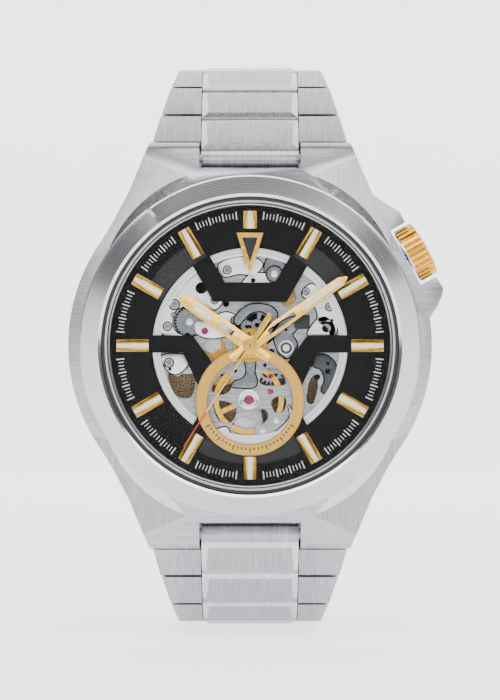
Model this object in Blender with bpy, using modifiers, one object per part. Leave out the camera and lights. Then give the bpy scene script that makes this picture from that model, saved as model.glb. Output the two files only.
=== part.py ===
"""Skeleton wristwatch on a closed steel bracelet.

The dial faces -Y, 12 o'clock is +Z and 3 o'clock is +X. The origin is the middle of the case back's flat
outer face. The head is laid out in the dial frame: x to the right, up towards 12, height above the case back
towards the crystal. All sizes below are millimetres.
"""

import math

import bmesh
import bpy
from mathutils import Matrix, Vector

MM = 0.001
WELD = 0.0000003
NAME = "skeleton_wristwatch"

# Driving dimensions of the case
CASE_RADIUS = 23.0
CASE_BOTTOM = 0.9
CASE_TOP = 9.2
BEZEL_RADIUS = 21.55
BEZEL_BORE = 18.77
BEZEL_TOP = 11.5
DIAL_RADIUS = 18.3
DIAL_OPENING = 12.4
MOVEMENT_RADIUS = 13.0

# Lugs: (x, up) points of one lug's flank, from the round case to the lug's end
LUG_FLANK = ((18.9, 13.1), (17.3, 15.8), (15.45, 19.4), (14.4, 22.0), (13.4, 24.5), (12.8, 26.0))
LUG_PIN_UP = 24.1
LUG_PIN_HEIGHT = 4.2
LUG_KNUCKLE = 1.9
LUG_SLOPE_START = 19.0
NOTCH_HALF_WIDTH = 6.47
NOTCH_FLOOR = 22.5
SPRING_BAR_RADIUS = 0.75

# Bracelet
LINK_PITCH = 6.9
LINK_HALF_THICKNESS = 1.35
LINK_RAISED = 0.3
LINK_GAP = 0.25
LINK_LEANS = (51, 54, 66, 84, 103, 121, 138, 152)
LINKS_ON_12_SIDE = 8
LINKS_ON_6_SIDE = 7
CENTRE_HALF_WIDTH = 6.2
BRACELET_HALF_WIDTHS = (12.7, 11.6, 10.4, 9.5, 9.3)

# Clasp
CLASP_RISE = 6.5
CLASP_HALF_WIDTH = 9.2
BLADE_HALF_WIDTH = 4.0

# Crown
CROWN_ANGLE = math.radians(29.4)
CROWN_HEIGHT = 5.3
CROWN_RADIUS = 3.6
CROWN_INNER = 23.1
CROWN_OUTER = 25.8
CROWN_NOTCH_FLOOR = 22.6
STEM_RADIUS = 0.4

# Going train: teeth of each wheel and pinion, and how far its axis is from the centre
BARREL_TEETH, CENTRE_PINION_TEETH = 84, 12
CENTRE_TEETH, THIRD_PINION_TEETH = 80, 10
THIRD_TEETH, FOURTH_PINION_TEETH = 75, 10
FOURTH_TEETH, ESCAPE_PINION_TEETH = 72, 8
ESCAPE_TEETH = 20
BARREL_DISTANCE = 5.95
THIRD_DISTANCE = 4.05
ESCAPE_DISTANCE = 4.1
CANNON_TEETH, MINUTE_TEETH = 12, 36
MINUTE_PINION_TEETH, HOUR_TEETH = 10, 40
CROWN_WHEEL_TEETH, RATCHET_TEETH, WINDING_TEETH = 30, 34, 14
WINDING_DISTANCE = 4.6

DIAL = Matrix.Rotation(math.radians(90), 4, "X")


def polar(radius, angle, centre=(0.0, 0.0)):
    return (centre[0] + radius * math.cos(angle), centre[1] + radius * math.sin(angle))


BARREL_AXIS = polar(BARREL_DISTANCE, math.radians(72.5))
THIRD_AXIS = polar(THIRD_DISTANCE, math.radians(202.3))
ESCAPE_AXIS = polar(ESCAPE_DISTANCE, math.radians(-50.3))
BALANCE_AXIS = (-0.15, -6.9)
MINUTE_AXIS = (0.9, 2.6)
CROWN_WHEEL_AXIS = polar(6.5, CROWN_ANGLE)
GOLD_RING_CENTRE = (0.0, -7.1)

# --------------------------------------------------------------------------- collections and materials


def clear_scene():
    for obj in list(bpy.data.objects):
        bpy.data.objects.remove(obj, do_unlink=True)


def new_collection(name):
    collection = bpy.data.collections.new(name)
    bpy.context.scene.collection.children.link(collection)
    return collection


clear_scene()
PARTS = new_collection(NAME)
CUTTERS = new_collection("cutters")

FINISHES = {
    "steel": ((0.60, 0.61, 0.63), 0.35, 1.0),
    "polished_steel": ((0.72, 0.73, 0.75), 0.12, 1.0),
    "gold": ((0.80, 0.56, 0.17), 0.22, 1.0),
    "brass": ((0.72, 0.53, 0.24), 0.35, 1.0),
    "rhodium": ((0.80, 0.80, 0.80), 0.3, 1.0),
    "spring_steel": ((0.45, 0.47, 0.52), 0.25, 1.0),
    "black": ((0.012, 0.012, 0.012), 0.5, 0.0),
    "rubber": ((0.02, 0.02, 0.02), 0.6, 0.0),
    "glass": ((0.9, 0.95, 0.97), 0.02, 0.0),
}


def finish(obj, name):
    material = bpy.data.materials.get(obj.name + "_" + name) or bpy.data.materials.new(obj.name + "_" + name)
    colour, roughness, metallic = FINISHES[name]
    material.use_nodes = True
    shader = material.node_tree.nodes["Principled BSDF"]
    shader.inputs["Base Color"].default_value = (*colour, 1.0)
    shader.inputs["Roughness"].default_value = roughness
    shader.inputs["Metallic"].default_value = metallic
    obj.data.materials.clear()
    obj.data.materials.append(material)
    obj.data.shade_smooth()
    obj.data.set_sharp_from_angle(angle=math.radians(30))
    return obj


# --------------------------------------------------------------------------- shapes


def new_object(name, mesh):
    obj = bpy.data.objects.new(name, mesh)
    PARTS.objects.link(obj)
    return obj


def turned(name, profile, steps=32, solid=False):
    """A body of revolution about its own Z, from (radius, height) points down its outer side.

    A solid profile starts and ends on the axis; any other profile is a closed loop.
    """
    mesh = bpy.data.meshes.new(name)
    points = [(radius * MM, 0.0, height * MM) for radius, height in profile]
    edges = [(i, i + 1) for i in range(len(points) - 1)]
    if not solid:
        edges.append((len(points) - 1, 0))
    mesh.from_pydata(points, edges, [])
    obj = new_object(name, mesh)
    screw = obj.modifiers.new("turn", "SCREW")
    screw.axis = "Z"
    screw.steps = steps
    screw.render_steps = steps
    screw.use_merge_vertices = True
    screw.merge_threshold = 0.000005
    return baked(obj)


def baked(obj):
    """The same object with its modifiers applied and its doubled points welded."""
    bpy.context.view_layer.update()
    evaluated = obj.evaluated_get(bpy.context.evaluated_depsgraph_get())
    mesh = bpy.data.meshes.new_from_object(evaluated)
    name, matrix = obj.name, obj.matrix_world.copy()
    bpy.data.objects.remove(obj, do_unlink=True)
    shape = bmesh.new()
    shape.from_mesh(mesh)
    bmesh.ops.remove_doubles(shape, verts=shape.verts, dist=WELD)
    bmesh.ops.recalc_face_normals(shape, faces=shape.faces)
    shape.to_mesh(mesh)
    shape.free()
    result = new_object(name, mesh)
    result.matrix_world = matrix
    return result


def plate(name, outlines, low, high):
    """A flat sheet between two heights. The first outline is its edge, and the others are holes in it."""
    curve = bpy.data.curves.new(name, "CURVE")
    curve.dimensions = "2D"
    curve.fill_mode = "BOTH"
    curve.extrude = (high - low) / 2 * MM
    for outline in outlines:
        spline = curve.splines.new("POLY")
        spline.points.add(len(outline) - 1)
        for point, (x, y) in zip(spline.points, outline):
            point.co = (x * MM, y * MM, 0.0, 1.0)
        spline.use_cyclic_u = True
    obj = baked(new_object(name, curve))
    obj.data.transform(Matrix.Translation((0.0, 0.0, (low + high) / 2 * MM)))
    return obj


def rod(name, radius, low, high, centre=(0.0, 0.0), segments=14):
    shape = bmesh.new()
    place = Matrix.Translation((centre[0] * MM, centre[1] * MM, (low + high) / 2 * MM))
    bmesh.ops.create_cone(
        shape,
        cap_ends=True,
        segments=segments,
        radius1=radius * MM,
        radius2=radius * MM,
        depth=(high - low) * MM,
        matrix=place,
    )
    mesh = bpy.data.meshes.new(name)
    shape.to_mesh(mesh)
    shape.free()
    return new_object(name, mesh)


def block(name, low, high):
    shape = bmesh.new()
    bmesh.ops.create_cube(shape, size=1.0)
    size = [(h - l) * MM for l, h in zip(low, high)]
    middle = [(h + l) / 2 * MM for l, h in zip(low, high)]
    shape.transform(Matrix.Translation(middle) @ Matrix.Diagonal((*size, 1.0)))
    mesh = bpy.data.meshes.new(name)
    shape.to_mesh(mesh)
    shape.free()
    return new_object(name, mesh)


def combine(base, others, operation):
    """Joins the other shapes to the base, or takes them away, one after another."""
    for other in others:
        PARTS.objects.unlink(other)
        CUTTERS.objects.link(other)
        other.hide_render = True
        other.display_type = "WIRE"
        modifier = base.modifiers.new(other.name, "BOOLEAN")
        modifier.operation = operation
        modifier.solver = "EXACT"
        modifier.object = other
        base = baked(base)
        bpy.data.objects.remove(other, do_unlink=True)
    return base


def joined(base, *others):
    return combine(base, others, "UNION")


def cut(base, *others):
    return combine(base, others, "DIFFERENCE")


def seat(obj, centre=(0.0, 0.0), height=0.0, spin=0.0):
    """Places a shape in the dial frame, turned by spin about the line of sight."""
    place = Matrix.Translation((centre[0] * MM, centre[1] * MM, height * MM))
    obj.matrix_world = DIAL @ place @ Matrix.Rotation(spin, 4, "Z")
    return obj


# --------------------------------------------------------------------------- outlines


def arc(radius, start, end, count, centre=(0.0, 0.0)):
    """Points along an arc, with both ends, angles in radians."""
    return [polar(radius, start + (end - start) * i / (count - 1), centre) for i in range(count)]


def circle(radius, centre=(0.0, 0.0), count=32):
    return [polar(radius, math.tau * i / count, centre) for i in range(count)]


def sector(inner, outer, start, end, count=5, centre=(0.0, 0.0)):
    """A window between two radii and two angles in degrees."""
    a, b = math.radians(start), math.radians(end)
    return arc(outer, a, b, count, centre) + arc(inner, b, a, count, centre)


def gear(teeth, radius, phase=0.0, centre=(0.0, 0.0)):
    """Straight-sided teeth about a pitch circle, with backlash. A tooth points along phase."""
    module = 2 * radius / teeth
    step = math.tau / teeth
    points = []
    for i in range(teeth):
        points.append(polar(radius + 0.65 * module, phase + i * step, centre))
        points.append(polar(radius - 0.95 * module, phase + (i + 0.5) * step, centre))
    return points


def heading(a, b):
    return math.atan2(b[1] - a[1], b[0] - a[0])


def pitch_radii(distance, teeth_a, teeth_b):
    total = teeth_a + teeth_b
    return distance * teeth_a / total, distance * teeth_b / total


def windows(inner, outer, count, fill=0.72):
    """Equal windows between the spokes of a wheel."""
    step = 360 / count
    return [sector(inner, outer, i * step, i * step + step * fill) for i in range(count)]


# --------------------------------------------------------------------------- case


def lug_side_profile():
    """The case seen from 3 o'clock, as (up, height) points: flat back, rounded lug ends, sloping lugs."""
    pin = (LUG_PIN_UP, LUG_PIN_HEIGHT)
    half = [(17.0, CASE_BOTTOM)]
    half += arc(LUG_KNUCKLE, math.radians(-79), math.radians(61.2), 9, pin)
    half += [(LUG_SLOPE_START, CASE_TOP)]
    mirrored = [(-up, height) for up, height in reversed(half)]
    return half + mirrored


def case_outline():
    """The case seen through the dial, as (x, up) points, anticlockwise from below the crown."""
    half_notch = 4.0
    along = math.sqrt(25.1**2 - half_notch**2)
    out = (math.cos(CROWN_ANGLE), math.sin(CROWN_ANGLE))
    side = (-out[1], out[0])

    def at_crown(distance, offset):
        return (distance * out[0] + offset * side[0], distance * out[1] + offset * side[1])

    join = math.atan2(LUG_FLANK[0][1], LUG_FLANK[0][0])
    points = arc(CASE_RADIUS, -join, math.radians(8.7), 10)
    points += [polar(25.5, math.radians(16)), at_crown(along, -half_notch)]
    points += [at_crown(CROWN_NOTCH_FLOOR, -half_notch), at_crown(CROWN_NOTCH_FLOOR, half_notch)]
    points += [at_crown(along, half_notch), polar(25.5, math.radians(42))]
    points += [(15.6, 19.2)] + list(LUG_FLANK[3:])
    points += [(-x, up) for x, up in reversed(LUG_FLANK)]
    points += arc(CASE_RADIUS, math.pi - join, math.pi + join, 16)[1:-1]
    points += [(-x, -up) for x, up in LUG_FLANK]
    points += [(x, -up) for x, up in reversed(LUG_FLANK[1:])]
    return points


def lug_facet_cutters():
    """A block above the sloping side facet of each of the four lugs."""
    cutters = []
    for x_sign in (1, -1):
        for up_sign in (1, -1):
            normal = Vector((0.1231 * x_sign, 0.2775 * up_sign, 1.0)).normalized()
            cutter = block("facet_cutter", (-30, -30, 0), (30, 30, 20))
            turn = normal.to_track_quat("Z", "Y").to_matrix().to_4x4()
            cutter.matrix_world = DIAL @ Matrix.Translation((0.0, 0.0, 14.75 * MM)) @ turn
            cutters.append(cutter)
    return cutters


def along_crown(obj, distance):
    """Places a shape so that its own Z points out along the crown's axis."""
    out = Vector((math.cos(CROWN_ANGLE), 0.0, math.sin(CROWN_ANGLE)))
    front = Vector((0.0, -1.0, 0.0))
    turn = Matrix((front.cross(out), front, out)).transposed().to_4x4()
    start = out * distance * MM + front * CROWN_HEIGHT * MM
    obj.matrix_world = Matrix.Translation(start) @ turn
    return obj


def across(obj, up, height, sign=1):
    """Places a shape so that its own Z runs along +X, through a point given by up and height."""
    turn = Matrix(((0, 0, 1, 0), (0, -1, 0, 0), (1, 0, 0, 0), (0, 0, 0, 1)))
    obj.matrix_world = Matrix.Translation((0.0, -height * MM, sign * up * MM)) @ turn
    return obj


def case_middle():
    body = seat(plate("case_middle", [case_outline()], CASE_BOTTOM, CASE_TOP + 0.4))
    side = across(plate("case_side", [lug_side_profile()], -30, 30), 0, 0)
    body = combine(body, [side], "INTERSECT")
    top_seat = 18.6
    bore_profile = [
        (top_seat, CASE_TOP + 2),
        (top_seat, 7.45),
        (15.5, 7.45),
        (15.5, 1.85),
        (17.6, 1.85),
        (17.6, CASE_BOTTOM - 2),
    ]
    bore = seat(turned("bore", [(0, CASE_TOP + 2)] + bore_profile + [(0, CASE_BOTTOM - 2)], 40, True))
    cutters = [bore] + lug_facet_cutters()
    for sign in (1, -1):
        notch = block("notch", (-NOTCH_HALF_WIDTH, NOTCH_FLOOR, -1), (NOTCH_HALF_WIDTH, 30, 12))
        notch.matrix_world = DIAL @ Matrix.Rotation(0 if sign > 0 else math.pi, 4, "Z")
        hole = across(rod("bar_hole", SPRING_BAR_RADIUS + 0.1, -9.9, 9.9), LUG_PIN_UP, LUG_PIN_HEIGHT, sign)
        cutters += [notch, hole]
    cutters.append(along_crown(rod("stem_hole", 0.7, 14.0, 23.0), 0.0))
    return finish(cut(body, *cutters), "steel")


def case_rings():
    bezel = [(19.15, BEZEL_TOP), (BEZEL_RADIUS, 9.95), (BEZEL_RADIUS, 9.26), (BEZEL_BORE, 9.26), (BEZEL_BORE, 11.3)]
    finish(seat(turned("bezel", bezel, 56)), "steel")
    crystal = [(0, 11.4), (17.9, 11.4), (DIAL_RADIUS, 11.1), (DIAL_RADIUS, 10.15), (0, 10.15)]
    finish(seat(turned("crystal", crystal, 40, True)), "glass")
    gasket = [(18.7, 11.2), (18.7, 10.1), (18.36, 10.1), (18.36, 11.2)]
    finish(seat(turned("crystal_gasket", gasket, 40)), "rubber")
    flange = [(18.5, 10.05), (18.5, 7.97), (17.72, 7.97), (18.1, 10.05)]
    finish(seat(turned("inner_flange", flange, 40)), "rhodium")


def case_back():
    ring = [(17.4, 1.7), (17.4, 0.3), (17.1, 0), (13.75, 0), (13.75, 0.95), (12.9, 0.95), (12.9, 2.4),
            (15.35, 2.4), (15.35, 1.7)]
    finish(seat(turned("case_back", ring, 36)), "steel")
    finish(seat(turned("back_crystal", [(0, 0.9), (13.65, 0.9), (13.65, 0), (0, 0)], 32, True)), "glass")


# --------------------------------------------------------------------------- dial and hands


def dial():
    """A flat disc with five openings round the movement, between its arms and the gold ring's seat."""
    half_arm = 1.25
    ring_seat = 6.9
    bar_low, bar_high = 5.57, 8.0
    arm = math.radians(120)
    along, aside = (math.cos(arm), math.sin(arm)), (math.sin(arm), -math.cos(arm))

    def arm_edge(offset, level):
        t = (level - offset * aside[1]) / along[1]
        return (t * along[0] + offset * aside[0], level)

    reach = math.asin(half_arm / DIAL_OPENING)
    top = [arm_edge(half_arm, bar_high)]
    top = arc(DIAL_OPENING, arm - reach, math.pi - (arm - reach), 8) + [(-top[0][0], bar_high), top[0]]

    nine_high, nine_low = 1.3, -0.9
    kink, ring_end = (-7.3, nine_high), polar(ring_seat, math.radians(134), GOLD_RING_CENTRE)
    low_kink, low_end = (-8.5, nine_low), polar(ring_seat, math.radians(163), GOLD_RING_CENTRE)
    left_start = math.pi - math.asin(nine_high / DIAL_OPENING)
    left = arc(DIAL_OPENING, arm + reach, left_start, 6) + [kink, ring_end]
    right = [(-x, up) for x, up in reversed(left)]
    seat_top = arc(ring_seat, math.radians(126), math.radians(54), 8, GOLD_RING_CENTRE)
    bar = [(-arm_edge(-half_arm, bar_low)[0], bar_low), arm_edge(-half_arm, bar_low)]
    middle = left + seat_top + right + bar

    seven = math.radians(240)
    low_start = math.pi + math.asin(-nine_low / DIAL_OPENING)
    narrow = [polar(ring_seat, math.radians(195.9), GOLD_RING_CENTRE)]
    lower = arc(DIAL_OPENING, low_start, seven - reach, 9) + narrow
    lower += arc(ring_seat, math.radians(190), math.radians(168), 4, GOLD_RING_CENTRE) + [low_end, low_kink]
    lower_right = [(-x, up) for x, up in lower]

    outlines = [circle(DIAL_RADIUS, count=48), top, middle, lower, lower_right]
    outlines.append(circle(5.6, GOLD_RING_CENTRE, 32))
    finish(seat(cut(plate("dial", outlines, 7.5, 7.9), rod("hub_clearance", 0.75, 7, 9))), "black")
    ring = [(ring_seat, 8.1), (ring_seat, 7.94), (5.45, 7.94), (5.45, 8.1)]
    ring = seat(turned("balance_window_ring", ring, 32), GOLD_RING_CENTRE)
    finish(cut(ring, seat(rod("hub_clearance", 0.75, 7, 9))), "gold")


def hand_outline(length, tail, hub, root_half, tip_half):
    """A pointer along +Y: stub tail, round hub, and a bar that narrows to a cut-off point."""
    leave = math.asin(root_half / hub)
    right = arc(hub, -math.pi / 2 + 0.55, math.pi / 2 - leave, 7)
    right = [(0.45, -tail)] + right + [(tip_half, length - 1.1), (0.12, length)]
    return right + [(-x, y) for x, y in reversed(right)]


def hands():
    hour = [hand_outline(10.96, 3.0, 1.15, 0.85, 0.75), circle(0.69, count=16)]
    hour += [[(0.3, 1.9), (0.3, 4.6), (-0.3, 4.6), (-0.3, 1.9)]]
    finish(seat(plate("hour_hand", hour, 8.2, 8.4), spin=-math.radians(305)), "gold")
    minute = [hand_outline(15.05, 3.0, 0.95, 0.8, 0.62), circle(0.42, count=16)]
    minute += [[(0.3, 1.6), (0.3, 7.6), (-0.3, 7.6), (-0.3, 1.6)]]
    finish(seat(plate("minute_hand", minute, 8.75, 8.95), spin=-math.radians(54.8)), "gold")
    second = [(0.22, -4.9), (0.22, -0.81), (0.84, -0.3), (0.84, 0.3), (0.22, 0.81), (0.06, 15.4)]
    second = second + [(-x, y) for x, y in reversed(second)]
    finish(seat(plate("seconds_hand", [second], 9.3, 9.42), spin=-math.radians(213.3)), "gold")


# --------------------------------------------------------------------------- movement


def movement_frame():
    ring = [(15.3, 7.35), (15.3, 2.6), (13.2, 2.6), (13.2, 6.85), (11.4, 6.85), (11.4, 7.35)]
    holder = seat(turned("movement_holder", ring, 32))
    finish(cut(holder, along_crown(rod("stem_slot", 0.6, 10.0, 16.0), 0.0)), "rhodium")

    holes = [circle(0.8, count=14)]
    holes.append(sector(1.5, 4.4, 25, 155, 8, BALANCE_AXIS))
    holes.append(sector(1.5, 4.4, 205, 335, 8, BALANCE_AXIS))
    holes.append(sector(2.2, 4.6, 55, 165, 7, BARREL_AXIS))
    holes.append(sector(1.0, 3.0, 110, 250, 7, THIRD_AXIS))
    holes.append(sector(0.7, 1.7, -20, 80, 6, ESCAPE_AXIS))
    plate_outline = [circle(MOVEMENT_RADIUS, count=36)] + holes
    mainplate = seat(plate("mainplate", plate_outline, 5.9, 6.7))
    slot = along_crown(block("pinion_slot", (-1.3, -1.3, 8.7), (1.3, 1.3, 14.0)), 0.0)
    mainplate = cut(mainplate, slot)
    post = seat(rod("minute_post", 0.25, 6.6, 7.35), MINUTE_AXIS)
    finish(joined(mainplate, post), "rhodium")

    bridge_edge = math.asin(3.6 / 12.7)
    outline = [arc(12.7, -bridge_edge, math.pi + bridge_edge, 32)]
    outline.append(circle(2.0, polar(8.0, math.radians(160)), 14))
    bridge = seat(plate("train_bridge", outline, 3.0, 3.6))
    feet = [seat(rod("foot", 0.55, 3.5, 5.85), polar(12.0, math.radians(a))) for a in (5, 75, 178)]
    finish(joined(bridge, *feet), "rhodium")

    x, up = BALANCE_AXIS
    cock = [(x - 1.0, up + 1.2), (x - 1.6, up - 2), (x - 2.4, up - 5.2), (x + 2.4, up - 5.2), (x + 1.6, up - 2),
            (x + 1.0, up + 1.2)]
    cock = seat(plate("balance_bridge", [list(reversed(cock))], 3.0, 3.6))
    feet = [seat(rod("foot", 0.32, 3.5, 5.85), (x + s * 1.3, up - 5.0)) for s in (1, -1)]
    stud = seat(rod("stud", 0.2, 3.5, 4.4), (x, up - 2.85))
    finish(joined(cock, stud, *feet), "rhodium")


def wheel(name, axis, disc, pinion, arbor, finish_name="brass"):
    """A toothed disc, its pinion and its arbor as one turning piece. Each is (outlines, low, high)."""
    shapes = [plate(name, *disc)]
    if pinion:
        shapes.append(plate(name + "_pinion", *pinion))
    if arbor:
        shapes.append(rod(name + "_arbor", *arbor, segments=12))
    solid = joined(shapes[0], *shapes[1:]) if len(shapes) > 1 else shapes[0]
    return finish(seat(solid, axis), finish_name)


def going_train():
    centre = (0.0, 0.0)
    barrel_r, centre_pinion_r = pitch_radii(BARREL_DISTANCE, BARREL_TEETH, CENTRE_PINION_TEETH)
    centre_r, third_pinion_r = pitch_radii(THIRD_DISTANCE, CENTRE_TEETH, THIRD_PINION_TEETH)
    third_r, fourth_pinion_r = pitch_radii(THIRD_DISTANCE, THIRD_TEETH, FOURTH_PINION_TEETH)
    fourth_r, escape_pinion_r = pitch_radii(ESCAPE_DISTANCE, FOURTH_TEETH, ESCAPE_PINION_TEETH)
    to_barrel, to_third, to_escape = (heading(centre, a) for a in (BARREL_AXIS, THIRD_AXIS, ESCAPE_AXIS))

    drum = turned("barrel", [(5.0, 5.65), (5.0, 4.65), (1.1, 4.65), (1.1, 4.8), (4.75, 4.8), (4.75, 5.65)], 28)
    rim = [gear(BARREL_TEETH, barrel_r, to_barrel + math.pi + math.pi / BARREL_TEETH), circle(4.9, count=28)]
    finish(seat(joined(drum, plate("barrel_teeth", rim, 5.2, 5.5)), BARREL_AXIS), "brass")
    spiral_spring("mainspring", BARREL_AXIS, 1.25, 4.5, 4, 0.16, 4.95, 5.55)
    arbor = joined(rod("barrel_arbor", 0.95, 4.85, 5.6), rod("barrel_pivot", 0.45, 3.65, 5.85))
    finish(seat(arbor, BARREL_AXIS), "spring_steel")

    disc = ([gear(CENTRE_TEETH, centre_r, to_third)] + windows(1.3, 3.0, 4) + [circle(0.2, count=10)], 4.4, 4.55)
    pinion = ([gear(CENTRE_PINION_TEETH, centre_pinion_r, to_barrel), circle(0.2, count=10)], 4.53, 5.6)
    tube = turned("centre_tube", [(0.36, 6.6), (0.36, 5.5), (0.2, 5.5), (0.2, 6.6)], 12)
    solid = joined(plate("centre_wheel", *disc), plate("centre_pinion", *pinion), tube)
    finish(seat(solid), "brass")

    phase = to_third + math.pi
    disc = ([gear(THIRD_TEETH, third_r, phase)] + windows(1.1, 3.0, 4), 4.05, 4.2)
    pinion = ([gear(THIRD_PINION_TEETH, third_pinion_r, phase + math.pi / THIRD_PINION_TEETH)], 4.15, 4.6)
    wheel("third_wheel", THIRD_AXIS, disc, pinion, (0.14, 3.65, 5.85))

    disc = ([gear(FOURTH_TEETH, fourth_r, to_escape)] + windows(0.9, 3.1, 4), 3.75, 3.9)
    pinion = ([gear(FOURTH_PINION_TEETH, fourth_pinion_r, to_third + math.pi / FOURTH_PINION_TEETH)], 3.85, 4.3)
    wheel("fourth_wheel", centre, disc, pinion, (0.13, 3.65, 9.22))

    phase = to_escape + math.pi + math.pi / ESCAPE_PINION_TEETH
    club = []
    for i in range(ESCAPE_TEETH):
        at = math.tau * i / ESCAPE_TEETH
        club += [polar(1.9, at), polar(1.86, at + 0.06), polar(1.45, at + 0.1), polar(1.42, at + 0.24)]
    disc = ([club] + windows(0.6, 1.15, 4), 4.62, 4.78)
    pinion = ([gear(ESCAPE_PINION_TEETH, escape_pinion_r, phase)], 3.7, 3.95)
    wheel("escape_wheel", ESCAPE_AXIS, disc, pinion, (0.14, 3.65, 5.85), "spring_steel")


def escapement():
    toward = heading(ESCAPE_AXIS, BALANCE_AXIS)
    pivot = polar(2.5, toward, ESCAPE_AXIS)
    half = [(1.35, 0.32), (1.05, 0.12), (0.2, 0.2), (-0.35, 1.25), (-0.85, 1.5), (-0.8, 1.15), (-0.35, 0.6)]
    lever = half + [(x, -y) for x, y in reversed(half)]
    lever = joined(plate("pallet_fork", [lever], 4.62, 4.78), rod("fork_arbor", 0.12, 3.65, 5.05, segments=10))
    finish(seat(lever, pivot, spin=toward), "spring_steel")

    rim = turned("balance_wheel", [(4.5, 5.6), (4.5, 5.1), (3.85, 5.1), (3.85, 5.6)], 28)
    arms = block("balance_arms", (-4.2, -0.3, 5.2), (4.2, 0.3, 5.5))
    shapes = [arms, rod("balance_hub", 0.55, 5.15, 5.62), rod("balance_staff", 0.2, 3.65, 5.85)]
    shapes.append(rod("roller", 0.55, 4.86, 4.96))
    finish(seat(joined(rim, *shapes), BALANCE_AXIS, spin=math.radians(24)), "gold")
    spiral_spring("hairspring", BALANCE_AXIS, 0.5, 2.5, 5, 0.05, 4.12, 4.36)


def spiral_spring(name, axis, inner, outer, turns, thickness, low, high, segments=12):
    """A flat strip coiled about an axis, ending straight below it."""
    count = turns * segments
    line = []
    for i in range(count + 1):
        share = i / count
        angle = -math.pi / 2 - math.tau * turns * (1 - share)
        line.append((inner + (outer - inner) * share, angle))
    strip = [polar(r + thickness / 2, a) for r, a in line]
    strip += [polar(r - thickness / 2, a) for r, a in reversed(line)]
    return finish(seat(plate(name, [strip], low, high), axis), "spring_steel")


def motion_work():
    centre = (0.0, 0.0)
    distance = math.hypot(*MINUTE_AXIS)
    cannon_r, minute_r = pitch_radii(distance, CANNON_TEETH, MINUTE_TEETH)
    minute_pinion_r, hour_r = pitch_radii(distance, MINUTE_PINION_TEETH, HOUR_TEETH)
    way = heading(centre, MINUTE_AXIS)

    leaves = [gear(CANNON_TEETH, cannon_r, way), circle(0.17, count=10)]
    tube = turned("cannon_tube", [(0.38, 8.98), (0.38, 6.98), (0.17, 6.98), (0.17, 8.98)], 14)
    finish(seat(joined(plate("cannon_pinion", leaves, 6.75, 7.0), tube)), "spring_steel")

    disc = [gear(MINUTE_TEETH, minute_r, way + math.pi + math.pi / MINUTE_TEETH), circle(0.3, count=12)]
    leaves = [gear(MINUTE_PINION_TEETH, minute_pinion_r, way + math.pi), circle(0.3, count=12)]
    solid = joined(plate("minute_wheel", disc + windows(0.75, 1.55, 4), 6.76, 6.92), plate("leaves", leaves, 6.9, 7.3))
    finish(seat(solid, MINUTE_AXIS), "brass")

    disc = [gear(HOUR_TEETH, hour_r, way + math.pi / HOUR_TEETH), circle(0.43, count=14)]
    tube = turned("hour_tube", [(0.65, 8.42), (0.65, 7.2), (0.43, 7.2), (0.43, 8.42)], 14)
    finish(seat(joined(plate("hour_wheel", disc + windows(0.95, 1.7, 4), 7.1, 7.3), tube)), "brass")


def winding():
    crown_r, ratchet_r = pitch_radii(WINDING_DISTANCE, CROWN_WHEEL_TEETH, RATCHET_TEETH)
    way = heading(CROWN_WHEEL_AXIS, BARREL_AXIS)
    disc = [gear(CROWN_WHEEL_TEETH, crown_r, way), circle(0.5, count=12)]
    finish(seat(plate("crown_wheel", disc, 3.95, 4.2), CROWN_WHEEL_AXIS), "steel")
    disc = [gear(RATCHET_TEETH, ratchet_r, way + math.pi + math.pi / RATCHET_TEETH), circle(0.5, count=12)]
    finish(seat(plate("ratchet_wheel", disc, 3.95, 4.2), BARREL_AXIS), "steel")

    click_axis = (BARREL_AXIS[0] - 3.4, BARREL_AXIS[1] + 0.9)
    lever = [(-2.6, -0.2), (-2.5, -0.4), (0.35, -0.4), (0.72, -0.62), (0.62, -0.25), (0.35, 0.35), (-2.5, 0.1)]
    finish(seat(joined(plate("click", [lever], 3.95, 4.2), rod("click_post", 0.2, 3.65, 4.3)), click_axis), "steel")

    pinion = [gear(WINDING_TEETH, 0.95), circle(STEM_RADIUS + 0.08, count=12)]
    finish(along_crown(plate("winding_pinion", pinion, 8.95, 10.1), 0.0), "spring_steel")
    finish(along_crown(rod("winding_stem", STEM_RADIUS, 8.65, 24.3), 0.0), "spring_steel")

    flutes = []
    count = 30
    for i in range(count):
        at = math.tau * i / count
        flutes += [polar(CROWN_RADIUS, at), polar(CROWN_RADIUS, at + 0.1), polar(CROWN_RADIUS - 0.25, at + 0.155)]
    crown = along_crown(plate("crown", [flutes], CROWN_INNER, CROWN_OUTER), 0.0)
    cavity = along_crown(rod("crown_cavity", 1.7, CROWN_INNER - 1, 24.35, segments=20), 0.0)
    finish(cut(crown, cavity), "gold")
    gasket = [(1.6, 24.1), (1.6, 23.4), (0.5, 23.4), (0.5, 24.1)]
    finish(along_crown(turned("crown_gasket", gasket, 16), 0.0), "rubber")


def rotor():
    outer, step, hub, bore = 12.6, 10.4, 1.9, 1.3
    rim = arc(outer, math.pi, math.tau, 24)
    boss = arc(hub, math.radians(15), math.radians(165), 9)
    web = plate("rotor", [rim + boss, circle(bore, count=20)], 1.7, 2.0)
    weight = sector(step, outer - 0.05, 182, 358, 22)
    weight = plate("rotor_weight", [weight], 1.95, 2.8)
    finish(seat(joined(web, weight), spin=math.radians(-20)), "steel")
    post = [(0, 2.95), (1.1, 2.95), (1.1, 1.75), (0, 1.75)]
    finish(seat(turned("rotor_bearing", post, 20, True)), "spring_steel")


# --------------------------------------------------------------------------- bracelet


def link_frames():
    """Pivots and leans of one side, as [(up, height), ...] with one lean for each link."""
    at = (LUG_PIN_UP, LUG_PIN_HEIGHT)
    pivots = [at]
    for lean in LINK_LEANS:
        a = math.radians(lean)
        at = (at[0] + LINK_PITCH * math.cos(a), at[1] - LINK_PITCH * math.sin(a))
        pivots.append(at)
    return pivots


PIVOTS = link_frames()


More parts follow.
